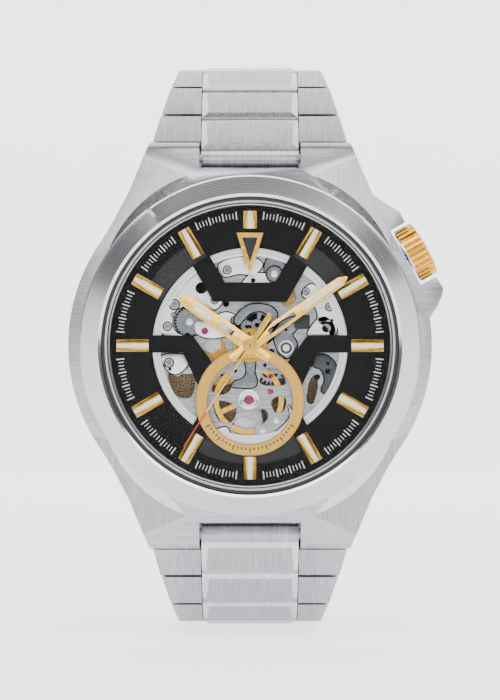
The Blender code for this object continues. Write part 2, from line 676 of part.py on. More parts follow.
def bracelet_frame(pivot, lean, sign):
    """X across, Y along the bracelet away from the case, Z out from the wrist."""
    a = math.radians(lean)
    along = Vector((0.0, math.sin(a), sign * math.cos(a)))
    out = Vector((0.0, -math.cos(a), sign * math.sin(a)))
    turn = Matrix((along.cross(out), along, out)).transposed().to_4x4()
    return Matrix.Translation((0.0, -pivot[1] * MM, sign * pivot[0] * MM)) @ turn


def slab(name, profile, low, high):
    """A bracelet profile of (along, out) points, drawn out across the bracelet from low to high."""
    obj = plate(name, [profile], low, high)
    obj.data.transform(Matrix(((0, 0, 1, 0), (1, 0, 0, 0), (0, 1, 0, 0), (0, 0, 0, 1))))
    return obj


def outer_profile(start_radius, pitch, end_radius=LINK_HALF_THICKNESS):
    t = LINK_HALF_THICKNESS
    lean = math.asin(t / start_radius)
    points = arc(start_radius, lean, -lean, 6)
    return list(reversed(points + arc(end_radius, -math.pi / 2, math.pi / 2, 8, (pitch, 0.0))))


def centre_profile(pitch):
    t = LINK_HALF_THICKNESS
    hollow = t + LINK_GAP
    lean = math.asin(t / hollow)
    points = arc(t, math.pi / 2, math.pi * 1.5, 8)
    points += arc(hollow, math.pi + lean, math.pi - lean, 6, (pitch, 0.0))
    points += [(pitch - 1.2, t + LINK_RAISED), (0.6, t + LINK_RAISED)]
    return points


def link(name, index, sign):
    """One link: a raised centre bar set half a pitch ahead of its two outer bars."""
    first = index == 0
    start_radius = LUG_KNUCKLE + 0.2 if first else LINK_HALF_THICKNESS + LINK_GAP
    wide = BRACELET_HALF_WIDTHS[min(index, len(BRACELET_HALF_WIDTHS) - 1)]
    narrow = BRACELET_HALF_WIDTHS[min(index + 1, len(BRACELET_HALF_WIDTHS) - 1)]
    inner_edge = CENTRE_HALF_WIDTH + 0.12
    frame = bracelet_frame(PIVOTS[index], LINK_LEANS[index], sign)
    solid = slab(name, centre_profile(LINK_PITCH), -CENTRE_HALF_WIDTH, CENTRE_HALF_WIDTH)
    others = []
    for side in (1, -1):
        low, high = sorted((side * inner_edge, side * wide))
        bar = slab(name + "_outer", outer_profile(start_radius, LINK_PITCH), low, high)
        for vertex in bar.data.vertices:
            if abs(vertex.co.x) > (inner_edge + 0.5) * MM:
                share = min(max(vertex.co.y / (LINK_PITCH * MM), 0.0), 1.0)
                vertex.co.x = side * (wide + (narrow - wide) * share) * MM
        others.append(bar)
    low, high = start_radius + 0.15, LINK_PITCH - LINK_HALF_THICKNESS - LINK_GAP - 0.15
    half_web = CENTRE_HALF_WIDTH + 0.5
    others.append(block(name + "_web", (-half_web, low, -1.1), (half_web, high, 1.1)))
    solid = joined(solid, *others)
    if first:
        hole = rod("bar_hole", SPRING_BAR_RADIUS + 0.1, -8, 8)
        hole.data.transform(Matrix(((0, 0, 1, 0), (1, 0, 0, 0), (0, 1, 0, 0), (0, 0, 0, 1))))
        solid = cut(solid, hole)
    if sign > 0 and index == LINKS_ON_12_SIDE - 1:
        # the last link hooks over the clasp's tongue from outside, so it can lift away from it
        reach = LINK_PITCH - LINK_HALF_THICKNESS - LINK_GAP - 0.1
        release = block(name + "_release", (-CENTRE_HALF_WIDTH - 0.06, reach, -2), (CENTRE_HALF_WIDTH + 0.06, 7, 0))
        solid = cut(solid, release)
    solid.matrix_world = frame
    return finish(solid, "steel")


def bracelet():
    for sign, count, side in ((1, LINKS_ON_12_SIDE, "12"), (-1, LINKS_ON_6_SIDE, "6")):
        for index in range(count):
            link(f"link_{side}_{index + 1}", index, sign)
        bar = across(rod(f"spring_bar_{side}", SPRING_BAR_RADIUS, -9.6, 9.6), LUG_PIN_UP, LUG_PIN_HEIGHT, sign)
        finish(bar, "spring_steel")


# --------------------------------------------------------------------------- clasp


def clasp_arc():
    """The circle through the two last pivots: its centre as (back, up), radius, and the two end angles."""
    a = (-PIVOTS[LINKS_ON_6_SIDE][1], -PIVOTS[LINKS_ON_6_SIDE][0])
    b = (-PIVOTS[LINKS_ON_12_SIDE][1], PIVOTS[LINKS_ON_12_SIDE][0])
    chord = math.dist(a, b)
    radius = (chord**2 / 4 + CLASP_RISE**2) / (2 * CLASP_RISE)
    along = ((b[0] - a[0]) / chord, (b[1] - a[1]) / chord)
    out = (along[1], -along[0])
    middle = ((a[0] + b[0]) / 2, (a[1] + b[1]) / 2)
    centre = (middle[0] - out[0] * (radius - CLASP_RISE), middle[1] - out[1] * (radius - CLASP_RISE))
    return centre, radius, heading(centre, a), heading(centre, b)


def clasp():
    """Three curved plates folded on each other. Outlines are in the (back, up) plane, drawn across."""
    centre, radius, start, end = clasp_arc()
    cover_low, cover_high = radius + 0.55, radius + 1.5
    middle_low, middle_high = radius - 0.35, radius + 0.45
    inner_low, inner_high = radius - 1.25, radius - 0.45
    knuckle = LINK_HALF_THICKNESS
    clear = (knuckle + LINK_GAP) / radius

    def layer(name, low, high, first, last, half_width, count=12):
        outline = arc(high, first, last, count, centre) + arc(low, last, first, count, centre)
        obj = plate(name, [outline], -half_width, half_width)
        obj.matrix_world = Matrix(((0, 0, 1, 0), (1, 0, 0, 0), (0, 1, 0, 0), (0, 0, 0, 1)))
        return obj

    def tongue(name, angle, half_width):
        obj = plate(name, [circle(knuckle, polar(radius, angle, centre), 16)], -half_width, half_width)
        obj.matrix_world = Matrix(((0, 0, 1, 0), (1, 0, 0, 0), (0, 1, 0, 0), (0, 0, 0, 1)))
        return obj

    hinge_in, hinge_out = start + 6.0 / radius, end - 4.6 / radius
    inner = layer("clasp_inner_blade", inner_low, inner_high, start, hinge_out, BLADE_HALF_WIDTH)
    inner = joined(inner, tongue("inner_tongue", start, CENTRE_HALF_WIDTH))
    finish(inner, "steel")

    middle = layer("clasp_middle_blade", middle_low, middle_high, hinge_in, hinge_out, BLADE_HALF_WIDTH)
    finish(middle, "steel")

    cover = layer("clasp_cover", cover_low, cover_high, hinge_in, end - clear, CLASP_HALF_WIDTH)
    walls = []
    for side in (1, -1):
        wall = layer("wall", inner_low, cover_low + 0.3, hinge_in, end - clear - 0.2 / radius, 0.55)
        wall.matrix_world = Matrix.Translation((side * (CLASP_HALF_WIDTH - 0.6) * MM, 0, 0)) @ wall.matrix_world
        walls.append(wall)
    end_block = layer("end_block", radius - 1.0, cover_high - 0.1, end - 3.4 / radius, end - 0.6 / radius,
                      CENTRE_HALF_WIDTH - 0.02, 5)
    cover = joined(cover, *walls, end_block, tongue("cover_tongue", end, CENTRE_HALF_WIDTH))
    cover = cut(cover, *[button(f"pocket_{side}", side, 0.12) for side in (1, -1)])
    finish(cover, "steel")
    for name, side in (("push_button_right", 1), ("push_button_left", -1)):
        finish(button(name, side, 0.0), "polished_steel")


def button(name, side, extra):
    """A push button in the cover's side wall, half way along. Extra is the clearance of its pocket."""
    centre, radius, start, end = clasp_arc()
    middle = (start + end) / 2
    long, tall = 1.6 + extra, 0.45 + extra
    point = polar(radius - 0.35, middle, centre)
    low, high = (7.2, 10.6) if extra else (8.25, 9.75)
    shape = block(name, (-tall, -long, low), (tall, long, high))
    out, up = math.cos(middle), math.sin(middle)
    turn = Matrix(((0, 0, side, 0), (out, -up * side, 0, 0), (up, out * side, 0, 0), (0, 0, 0, 1)))
    shape.matrix_world = Matrix.Translation((0.0, point[0] * MM, point[1] * MM)) @ turn
    return shape


case_middle()
case_rings()
case_back()
dial()
hands()
movement_frame()
going_train()
escapement()
motion_work()
winding()
rotor()
bracelet()
clasp()
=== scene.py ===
import math

import bmesh
import bpy
from mathutils import Matrix, Vector


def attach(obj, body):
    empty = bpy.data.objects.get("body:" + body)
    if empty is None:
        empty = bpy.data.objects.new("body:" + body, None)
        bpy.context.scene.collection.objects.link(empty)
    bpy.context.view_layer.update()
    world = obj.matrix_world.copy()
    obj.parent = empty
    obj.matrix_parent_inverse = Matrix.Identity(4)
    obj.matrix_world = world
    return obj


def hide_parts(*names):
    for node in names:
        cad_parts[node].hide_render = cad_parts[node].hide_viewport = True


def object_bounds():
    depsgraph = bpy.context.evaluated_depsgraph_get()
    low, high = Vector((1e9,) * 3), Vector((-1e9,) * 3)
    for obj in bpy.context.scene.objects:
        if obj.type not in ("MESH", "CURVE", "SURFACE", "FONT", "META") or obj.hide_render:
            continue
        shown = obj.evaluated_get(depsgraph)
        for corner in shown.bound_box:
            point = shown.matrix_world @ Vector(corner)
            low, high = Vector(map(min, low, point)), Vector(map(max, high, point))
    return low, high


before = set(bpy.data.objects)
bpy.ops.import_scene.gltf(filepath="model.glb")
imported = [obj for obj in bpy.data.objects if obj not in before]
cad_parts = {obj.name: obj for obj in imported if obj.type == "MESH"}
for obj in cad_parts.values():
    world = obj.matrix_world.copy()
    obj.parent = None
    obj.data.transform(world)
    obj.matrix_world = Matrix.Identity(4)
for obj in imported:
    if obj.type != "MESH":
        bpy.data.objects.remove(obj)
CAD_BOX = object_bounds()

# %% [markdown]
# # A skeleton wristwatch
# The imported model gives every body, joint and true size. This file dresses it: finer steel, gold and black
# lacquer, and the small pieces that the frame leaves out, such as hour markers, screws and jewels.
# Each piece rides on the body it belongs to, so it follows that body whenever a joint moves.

MM = 0.001
DIAL = Matrix.Rotation(math.radians(90), 4, "X")
ACROSS = Matrix(((0, 0, 1, 0), (1, 0, 0, 0), (0, 1, 0, 0), (0, 0, 0, 1)))

# %% [markdown]
# ## Drawing outlines
# Watch parts are mostly flat sheets and turned rings, so most shapes start as a flat outline. The dial
# frame used below has x to the right, up towards 12, and height above the case back. Everything is in
# millimetres.


# %% Outline helpers
def polar(radius, degrees, centre=(0.0, 0.0)):
    angle = math.radians(degrees)
    return (centre[0] + radius * math.cos(angle), centre[1] + radius * math.sin(angle))


def arc(radius, start, end, count, centre=(0.0, 0.0)):
    return [polar(radius, start + (end - start) * i / (count - 1), centre) for i in range(count)]


def circle(radius, centre=(0.0, 0.0), count=48):
    return [polar(radius, 360 * i / count, centre) for i in range(count)]


def sector(inner, outer, start, end, centre=(0.0, 0.0), count=18):
    return arc(outer, start, end, count, centre) + arc(inner, end, start, count, centre)


def flowing(points, steps=6):
    """A closed smooth line through the points, for cast and milled windows."""
    line = []
    count = len(points)
    for i in range(count):
        p0, p1, p2, p3 = (Vector(points[(i + k - 1) % count]) for k in range(4))
        for j in range(steps):
            t = j / steps
            bend = 2 * p1 + (p2 - p0) * t + (2 * p0 - 5 * p1 + 4 * p2 - p3) * t**2
            line.append(tuple((bend + (3 * p1 - p0 - 3 * p2 + p3) * t**3) / 2))
    return line


def gear(teeth, radius, phase=0.0, centre=(0.0, 0.0)):
    step = 360 / teeth
    module = 2 * radius / teeth
    points = []
    for i in range(teeth):
        for share, lift in ((-0.13, 0.65), (0.13, 0.65), (0.36, -0.95), (0.64, -0.95)):
            points.append(polar(radius + lift * module, phase + (i + share) * step, centre))
    return points


print("a 36-tooth gear outline has", len(gear(36, 2.0)), "points")

# %% [markdown]
# ## From outlines to solids
# A sheet is a flat curve with a thickness. A ring is a profile swept once round by the Screw modifier.
# Cutting and joining use the exact Boolean, and a small Bevel breaks the edges so that they catch the
# light.


# %% Solid helpers
def new_piece(name, data):
    obj = bpy.data.objects.new(name, data)
    bpy.context.scene.collection.objects.link(obj)
    return obj


def made_solid(obj):
    """The same piece with its modifiers applied."""
    bpy.context.view_layer.update()
    evaluated = obj.evaluated_get(bpy.context.evaluated_depsgraph_get())
    mesh = bpy.data.meshes.new_from_object(evaluated)
    name, matrix = obj.name, obj.matrix_world.copy()
    bpy.data.objects.remove(obj, do_unlink=True)
    shape = bmesh.new()
    shape.from_mesh(mesh)
    bmesh.ops.remove_doubles(shape, verts=shape.verts, dist=0.0000005)
    bmesh.ops.recalc_face_normals(shape, faces=shape.faces)
    shape.to_mesh(mesh)
    shape.free()
    result = new_piece(name, mesh)
    result.matrix_world = matrix
    return result


def plate(name, outlines, low, high):
    curve = bpy.data.curves.new(name, "CURVE")
    curve.dimensions = "2D"
    curve.fill_mode = "BOTH"
    curve.extrude = (high - low) / 2 * MM
    for outline in outlines:
        spline = curve.splines.new("POLY")
        spline.points.add(len(outline) - 1)
        for point, (x, y) in zip(spline.points, outline):
            point.co = (x * MM, y * MM, 0.0, 1.0)
        spline.use_cyclic_u = True
    obj = made_solid(new_piece(name, curve))
    obj.data.transform(Matrix.Translation((0.0, 0.0, (low + high) / 2 * MM)))
    return obj


def turned(name, profile, steps=128, solid=False):
    mesh = bpy.data.meshes.new(name)
    edges = [(i, i + 1) for i in range(len(profile) - 1)]
    if not solid:
        edges.append((len(profile) - 1, 0))
    mesh.from_pydata([(r * MM, 0.0, h * MM) for r, h in profile], edges, [])
    obj = new_piece(name, mesh)
    screw = obj.modifiers.new("turn", "SCREW")
    screw.steps = steps
    screw.render_steps = steps
    screw.use_merge_vertices = True
    screw.merge_threshold = 0.000004
    return made_solid(obj)


def rod(name, radius, low, high, centre=(0.0, 0.0), steps=32):
    return plate(name, [circle(radius, centre, steps)], low, high)


def block(name, low, high):
    outline = [(low[0], low[1]), (high[0], low[1]), (high[0], high[1]), (low[0], high[1])]
    return plate(name, [outline], low[2], high[2])


def combined(base, others, operation):
    for other in others:
        modifier = base.modifiers.new("shape", "BOOLEAN")
        modifier.operation = operation
        modifier.solver = "EXACT"
        modifier.object = other
        base = made_solid(base)
        bpy.data.objects.remove(other, do_unlink=True)
    return base


def cut(base, *others):
    return combined(base, others, "DIFFERENCE")


def joined(base, *others):
    return combined(base, others, "UNION")


def merged(name, pieces):
    """Several loose solids of one kind kept as one piece."""
    shape = bmesh.new()
    for piece in pieces:
        piece.data.transform(piece.matrix_world)
        shape.from_mesh(piece.data)
        bpy.data.objects.remove(piece, do_unlink=True)
    mesh = bpy.data.meshes.new(name)
    shape.to_mesh(mesh)
    shape.free()
    return new_piece(name, mesh)


def softened(obj, width, segments=2, angle=35):
    bevel = obj.modifiers.new("edge", "BEVEL")
    bevel.width = width * MM
    bevel.segments = segments
    bevel.limit_method = "ANGLE"
    bevel.angle_limit = math.radians(angle)
    return made_solid(obj)


def seated(obj, centre=(0.0, 0.0), height=0.0, spin=0.0):
    """Places a shape in the dial frame, turned by spin degrees."""
    place = Matrix.Translation((centre[0] * MM, centre[1] * MM, height * MM))
    obj.data.transform(DIAL @ place @ Matrix.Rotation(math.radians(spin), 4, "Z"))
    return obj


# %% Fitting a piece to the watch
def fitted(obj, material, body, slot, *stands_for, smooth=30):
    if not obj.data.materials:
        obj.data.materials.append(material)
    obj.data.transform(obj.matrix_world)
    obj.matrix_world = Matrix.Identity(4)
    obj.data.shade_smooth()
    obj.data.set_sharp_from_angle(angle=math.radians(smooth))
    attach(obj, body)
    if stands_for:
        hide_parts(*stands_for)
    return obj


print("bench ready")

# %% [markdown]
# ## Metals and other finishes
# Stainless steel, gold plate and rhodium plate differ mostly in colour. What the eye reads is how each
# surface was worked: brushing leaves fine parallel scratches, turning leaves rings, and polishing leaves
# almost none. So each finish is a bare metal with its own scratch pattern, scaled from the real spacing of
# the scratches.


# %% Nodes and colours
def linear(code):
    """An sRGB hex colour as linear red, green and blue, with alpha."""
    values = [int(code[i:i + 2], 16) / 255 for i in (1, 3, 5)]
    return tuple(v / 12.92 if v <= 0.04045 else ((v + 0.055) / 1.055) ** 2.4 for v in values) + (1.0,)


def add(tree, kind, inputs=None, links=None, **settings):
    """One node, with its settings, its plain input values and its links."""
    node = tree.nodes.new(kind)
    for key, value in settings.items():
        setattr(node, key, value)
    for key, value in (inputs or {}).items():
        node.inputs[key].default_value = value
    for key, source in (links or {}).items():
        tree.links.new(source, node.inputs[key])
    return node


def blank(name, **sockets):
    material = bpy.data.materials.new(name)
    material.use_nodes = True
    shader = material.node_tree.nodes["Principled BSDF"]
    for key, value in sockets.items():
        shader.inputs[key.replace("_", " ")].default_value = value
    return material, material.node_tree, shader


# %% Scratch patterns
def scratched(name, dark, light, roughness, lines, depth=0.12, metallic=1.0):
    """A surface with straight scratches. Lines says how many there are in a millimetre along x, y and z."""
    material, tree, shader = blank(name, Metallic=metallic)
    place = add(tree, "ShaderNodeTexCoord")
    spacing = [count / MM for count in lines]
    stretch = add(tree, "ShaderNodeMapping", {"Scale": spacing}, {"Vector": place.outputs["Object"]})
    noise = add(tree, "ShaderNodeTexNoise", {"Scale": 1.0, "Detail": 3.0},
                {"Vector": stretch.outputs["Vector"]})
    return dressed(material, tree, shader, noise, dark, light, roughness, depth)


def ringed(name, dark, light, roughness, lines, depth=0.2, centre=(0.0, 0.0), metallic=1.0):
    """A surface with turning marks round a centre, so many in a millimetre."""
    material, tree, shader = blank(name, Metallic=metallic)
    place = add(tree, "ShaderNodeTexCoord")
    flat = add(tree, "ShaderNodeMapping", {"Location": (-centre[0] * MM, 0.0, -centre[1] * MM)},
               {"Vector": place.outputs["Object"]})
    flat.inputs["Scale"].default_value = (1.0, 0.0, 1.0)
    far = add(tree, "ShaderNodeVectorMath", None, {0: flat.outputs["Vector"]}, operation="LENGTH")
    scale = add(tree, "ShaderNodeMath", {1: lines / MM}, {0: far.outputs["Value"]}, operation="MULTIPLY")
    noise = add(tree, "ShaderNodeTexNoise", {"Scale": 1.0, "Detail": 3.0}, {"W": scale.outputs[0]},
                noise_dimensions="1D")
    return dressed(material, tree, shader, noise, dark, light, roughness, depth)


def grainy(name, dark, light, roughness, grains, depth=0.3, metallic=1.0):
    """An even, blasted or polished surface, with so many grains in a millimetre."""
    material, tree, shader = blank(name, Metallic=metallic)
    place = add(tree, "ShaderNodeTexCoord")
    noise = add(tree, "ShaderNodeTexNoise", {"Scale": grains / MM, "Detail": 3.0},
                {"Vector": place.outputs["Object"]})
    return dressed(material, tree, shader, noise, dark, light, roughness, depth)


def dressed(material, tree, shader, noise, dark, light, roughness, depth):
    """Lets a pattern drive the colour, the roughness and the height of the surface."""
    pattern = noise.outputs[0]
    colour = add(tree, "ShaderNodeValToRGB", None, {"Fac": pattern})
    colour.color_ramp.elements[0].position, colour.color_ramp.elements[1].position = 0.35, 0.65
    colour.color_ramp.elements[0].color, colour.color_ramp.elements[1].color = linear(dark), linear(light)
    tree.links.new(colour.outputs["Color"], shader.inputs["Base Color"])
    rough = add(tree, "ShaderNodeMapRange", {"To Min": roughness * 0.8, "To Max": roughness * 1.2},
                {"Value": pattern})
    tree.links.new(rough.outputs["Result"], shader.inputs["Roughness"])
    bump = add(tree, "ShaderNodeBump", {"Strength": depth, "Distance": 0.00002}, {"Height": pattern})
    tree.links.new(bump.outputs["Normal"], shader.inputs["Normal"])
    return material


print("patterns ready")

# %% [markdown]
# The case, bezel and bracelet are stainless steel 316L. Flat faces are brushed with a belt, so the
# scratches run one way; rings are brushed on a lathe. The narrow edges are polished on a felt wheel. A
# watchmaker's brushing is about 20 lines in a millimetre, too fine to show here, so it is drawn at 8, and
# the grain of the movement's plates at 4.

# %% Steel, gold and the movement's metals
BRUSH = 8.0
ALONG = 0.25
GRAIN = (0.4, 4.0, 4.0)
steel_down = scratched("Steel_316L_brushed_lengthways", "#9fa0a4", "#bbbcbf", 0.30, (BRUSH, ALONG, ALONG))
steel_across = scratched("Steel_316L_brushed_across", "#adaeb2", "#c6c7ca", 0.30, (ALONG, BRUSH, BRUSH))
# The flank steel is the lengthways brushing in a darker colour: the darker colour is painted shade for the
# tilted facets.
steel_flank_painted_shade = scratched("Steel_316L_brushed_flank_painted_shade", "#96989b", "#b1b3b6", 0.34, (BRUSH, ALONG, ALONG))
steel_ringed = ringed("Steel_316L_lathe_brushed", "#c6c7ca", "#d3d4d7", 0.27, BRUSH, depth=0.035)
steel_polished = grainy("Steel_316L_felt_polished", "#e0e1e3", "#ecedee", 0.13, 1.5, depth=0.02)
steel_edge = grainy("Steel_316L_satin_polished_edge", "#d2d3d6", "#e2e3e5", 0.26, 1.5, depth=0.02)
gold_polished = grainy("Gold_plate_polished", "#d9a63c", "#efc25c", 0.16, 2.0, depth=0.03)
gold_satin = ringed("Gold_plate_satin_ring", "#cd9a45", "#dfb25c", 0.34, 6.0, depth=0.1, centre=(0.0, -7.1))
brass_turned = ringed("Brass_gilt_turned", "#b9852f", "#d3a04a", 0.28, 8.0, depth=0.1)
rhodium_grained = scratched("Rhodium_plate_grained", "#e2e2e3", "#f6f6f7", 0.4, GRAIN, depth=0.12)
# The mainplate's rhodium is the bridges' rhodium grain in a darker colour.
rhodium_darker_base = scratched("Rhodium_plate_darker_base", "#8f9194", "#b4b6b9", 0.42, GRAIN, depth=0.12)
rhodium_ringed = ringed("Rhodium_plate_turned", "#cfd0d2", "#eeeeef", 0.32, 6.0, depth=0.12)
steel_blued_grey = grainy("Tempered_steel_lapped", "#686b6f", "#8c8f93", 0.3, 6.0, depth=0.08)
steel_dark = grainy("Tempered_steel_matt_grey", "#3c3e40", "#595b5e", 0.42, 10.0, depth=0.15)
weight_bronze = grainy("Rotor_weight_sandblasted_bronze", "#5a4838", "#c4ab8a", 0.5, 5.0, depth=0.6)
print("metals:", len(bpy.data.materials))

# %% [markdown]
# The dial is brass under matt black lacquer, the sunk panels a sandblasted anthracite. The hands and
# markers hold a white luminous paint. Jewels are synthetic ruby, a clear red stone. The crystals are
# mineral glass.

# %% Lacquer, paint, ruby, rubber and glass
lacquer_black = grainy("Lacquer_matt_black", "#0a0a0b", "#111112", 0.42, 9.0, depth=0.05, metallic=0.0)
lacquer_anthracite = grainy("Lacquer_anthracite_sandblasted", "#242425", "#3d3d3e", 0.6, 9.0, depth=0.5,
                            metallic=0.0)
for lacquer in (lacquer_black, lacquer_anthracite):
    lacquer.node_tree.nodes["Principled BSDF"].inputs["Specular IOR Level"].default_value = 0.12
paint_lume = grainy("Luminous_paint_white", "#e9ece6", "#f8faf6", 0.6, 12.0, depth=0.1, metallic=0.0)
paint_track = grainy("Printing_ink_white", "#c9cac8", "#dcdddb", 0.6, 12.0, depth=0.05, metallic=0.0)
paint_red = grainy("Enamel_paint_red", "#b81c18", "#cf2620", 0.35, 8.0, depth=0.05, metallic=0.0)
ink_dark = grainy("Filled_engraving_dark", "#241c10", "#3a2e1c", 0.6, 10.0, depth=0.05, metallic=0.0)
ruby = grainy("Synthetic_ruby_polished", "#7a0f3f", "#a01c56", 0.06, 1.5, depth=0.02, metallic=0.0)
rubber_black = grainy("Nitrile_rubber_moulded", "#17181a", "#232427", 0.6, 8.0, depth=0.3, metallic=0.0)
# This near-black is painted shade: it colours the sheets, cups and discs that stand for the shade in the
# movement's gaps, pin holes and recesses.
painted_shade_dark = grainy("Painted_shade_black", "#131416", "#232427", 0.6, 8.0, depth=0.2)
steel_hidden = grainy("Tempered_steel_springs", "#83878d", "#a9adb3", 0.28, 5.0, depth=0.05)


def window_glass(name, tint_a, tint_b, alpha):
    """A thin clear plate: what is behind stays plain to see, and only its gloss shows."""
    glass = grainy(name, tint_a, tint_b, 0.03, 0.4, depth=0.005, metallic=0.0)
    glass.node_tree.nodes["Principled BSDF"].inputs["Alpha"].default_value = alpha
    return glass


glass_front = window_glass("Mineral_glass_polished", "#0c0e10", "#141619", 0.03)
glass_back = window_glass("Mineral_glass_back", "#0c0e10", "#141619", 0.05)
print("finishes:", len(bpy.data.materials))

# %% [markdown]
# ## The case middle
# The case is milled from one steel bar: a round body with four lugs that slope down to the bracelet. Each
# lug has a level flank and a tilted side facet, and a narrow polished bevel runs round the bezel between
# them. It is drawn twice, seen through the dial and seen from the side, and the two solids are intersected.

# %% Sizes of the case
CASE_RADIUS = 23.0
CASE_BOTTOM, CASE_TOP = 0.9, 9.2
BEZEL_RADIUS, BEZEL_TOP, BEZEL_BORE = 21.55, 11.5, 18.77
LUG_FLANK = [(18.9, 13.1), (17.3, 15.8), (15.45, 19.4), (14.4, 22.0), (13.4, 24.5), (12.8, 26.0)]
LUG_PIN = (24.1, 4.2)
CROWN_ANGLE = 29.4
CROWN_HEIGHT = 5.3
OUT = Vector((math.cos(math.radians(CROWN_ANGLE)), 0.0, math.sin(math.radians(CROWN_ANGLE))))
FRONT = Vector((0.0, -1.0, 0.0))


def along_crown(obj):
    """Places a shape so that its own Z points out along the crown's axis."""
    turn = Matrix((FRONT.cross(OUT), FRONT, OUT)).transposed().to_4x4()
    obj.data.transform(Matrix.Translation(FRONT * CROWN_HEIGHT * MM) @ turn)
    return obj


def across(obj, up, height, sign=1):
    """Places a shape so that its own Z runs along +X, through a point on the bracelet's side."""
    turn = Matrix(((0, 0, 1, 0), (0, -1, 0, 0), (1, 0, 0, 0), (0, 0, 0, 1)))
    obj.data.transform(Matrix.Translation((0.0, -height * MM, sign * up * MM)) @ turn)
    return obj


# %% The two outlines of the case
def case_outline():
    half_notch = 4.0
    along = math.sqrt(25.1**2 - half_notch**2)
    out, side = (OUT.x, OUT.z), (-OUT.z, OUT.x)

    def at_crown(distance, offset):
        return (distance * out[0] + offset * side[0], distance * out[1] + offset * side[1])

    join = math.degrees(math.atan2(LUG_FLANK[0][1], LUG_FLANK[0][0]))
    points = arc(CASE_RADIUS, -join, 8.7, 40)
    points += [polar(24.3, 12.0), polar(25.1, 14.5), polar(25.5, 16.5), at_crown(along, -half_notch)]
    points += [at_crown(22.6, -half_notch), at_crown(22.6, half_notch)]
    points += [at_crown(along, half_notch), polar(25.5, 41.6), polar(25.3, 43.4), polar(25.0, 45.5)]
    points += [(15.6, 19.2)] + LUG_FLANK[3:] + [(-x, up) for x, up in reversed(LUG_FLANK)]
    points += arc(CASE_RADIUS, 180 - join, 180 + join, 60)[1:-1]
    return points + [(-x, -up) for x, up in LUG_FLANK] + [(x, -up) for x, up in reversed(LUG_FLANK[1:])]


def case_side():
    half = [(17.0, CASE_BOTTOM)] + arc(1.9, -79, 61.2, 24, LUG_PIN) + [(19.0, CASE_TOP)]
    return half + [(-up, height) for up, height in reversed(half)]


# %% Cutting the case
def flank_cutters():
    """Above each tilted facet, outside the cone that makes the polished bevel round the bezel."""
    cutters = []
    for x_sign in (1, -1):
        for up_sign in (1, -1):
            tool = block("facet", (-32, -32, 0), (32, 32, 20))
            normal = Vector((0.1231 * x_sign, 0.2775 * up_sign, 1.0)).normalized()
            tilt = normal.to_track_quat("Z", "Y").to_matrix().to_4x4()
            tool.data.transform(Matrix.Translation((0.0, 0.0, 14.75 * MM)) @ tilt)
            rim = BEZEL_RADIUS + 0.03
            cone = [(0, 30), (rim, 30), (rim, CASE_TOP), (rim + 10, CASE_TOP - 10), (0, CASE_TOP - 10)]
            cutters.append(seated(cut(tool, turned("keep", cone, 144, True))))
    return cutters


def case_body():
    body = seated(plate("case_body", [case_outline()], CASE_BOTTOM, CASE_TOP + 0.4))
    body = combined(body, [across(plate("side", [case_side()], -30, 30), 0, 0)], "INTERSECT")
    body = joined(body, seated(rod("collar", BEZEL_RADIUS, 2.0, CASE_TOP, steps=160)))
    bore = [(0, 12), (18.6, 12), (18.6, 7.45), (15.5, 7.45), (15.5, 1.85), (17.6, 1.85), (17.6, -1), (0, -1)]
    cutters = [seated(turned("bore", bore, 128, True))] + flank_cutters()
    for sign in (1, -1):
        notch = seated(block("notch", (-6.47, 22.5, -1), (6.47, 30, 12)), spin=0 if sign > 0 else 180)
        cutters += [notch, across(rod("bar_hole", 0.85, -9.9, 9.9), LUG_PIN[0], LUG_PIN[1], sign)]
    cutters.append(along_crown(rod("stem_hole", 0.7, 14.0, 23.0)))
    return softened(cut(body, *cutters), 0.1, 2, 24)


def by_direction(obj, rules, default):
    """Gives each face a finish by where it looks. A rule is (finish, direction, least, most dot product)."""
    obj.data.materials.append(default)
    for material, direction, least, most in rules:
        obj.data.materials.append(material)
    for face in obj.data.polygons:
        for index, (material, direction, least, most) in enumerate(rules):
            if least <= face.normal.dot(direction) <= most and not face.material_index:
                face.material_index = index + 1
    return obj


# %% Finishing the case
case = case_body()
bevel_out = []
for face in case.data.polygons:
    centre = face.center
    if abs(-face.normal.y - math.sqrt(0.5)) < 0.03 and math.hypot(centre.x, centre.z) < 0.0234:
        bevel_out.append(face.index)
# The tilted facets, which look a little away from the front, take the darker flank steel: painted shade by
# the way they face.
case = by_direction(case, [(steel_across, Vector((0, -0.875, 0.485)), 0.985, 1.01),
                           (steel_across, Vector((0, -0.875, -0.485)), 0.985, 1.01),
                           (steel_flank_painted_shade, FRONT, 0.9, 0.985), (steel_across, FRONT, 0.985, 1.01)], steel_down)
case.data.materials.append(steel_edge)
for index in bevel_out:
    case.data.polygons[index].material_index = 5
fitted(case, steel_down, "case", "brushed_steel", "case_middle")
print("case faces:", len(case.data.polygons), "of them polished:", len(bevel_out))

# %% [markdown]
# ## The bezel
# The bezel is a ring with a wide satin slope. Two long scoops are milled into the slope: each starts at a
# sharp step and fades out half a turn later. No single profile can be swept to make that, so its skin is
# laid out as a grid, angle by angle, and the height of each point comes from the depth of the scoop there.


# %% A ring whose slope is scooped
def scoop(clockwise, radius):
    """How far the slope is cut down, in millimetres, at an angle clockwise from 12."""
    since = (clockwise + 37.0) % 180.0
    rise = (1 - since / 180.0) ** 2.2
    spread = min(max((radius - 19.25) / 2.2, 0.0), 1.0)
    return 0.62 * rise * spread


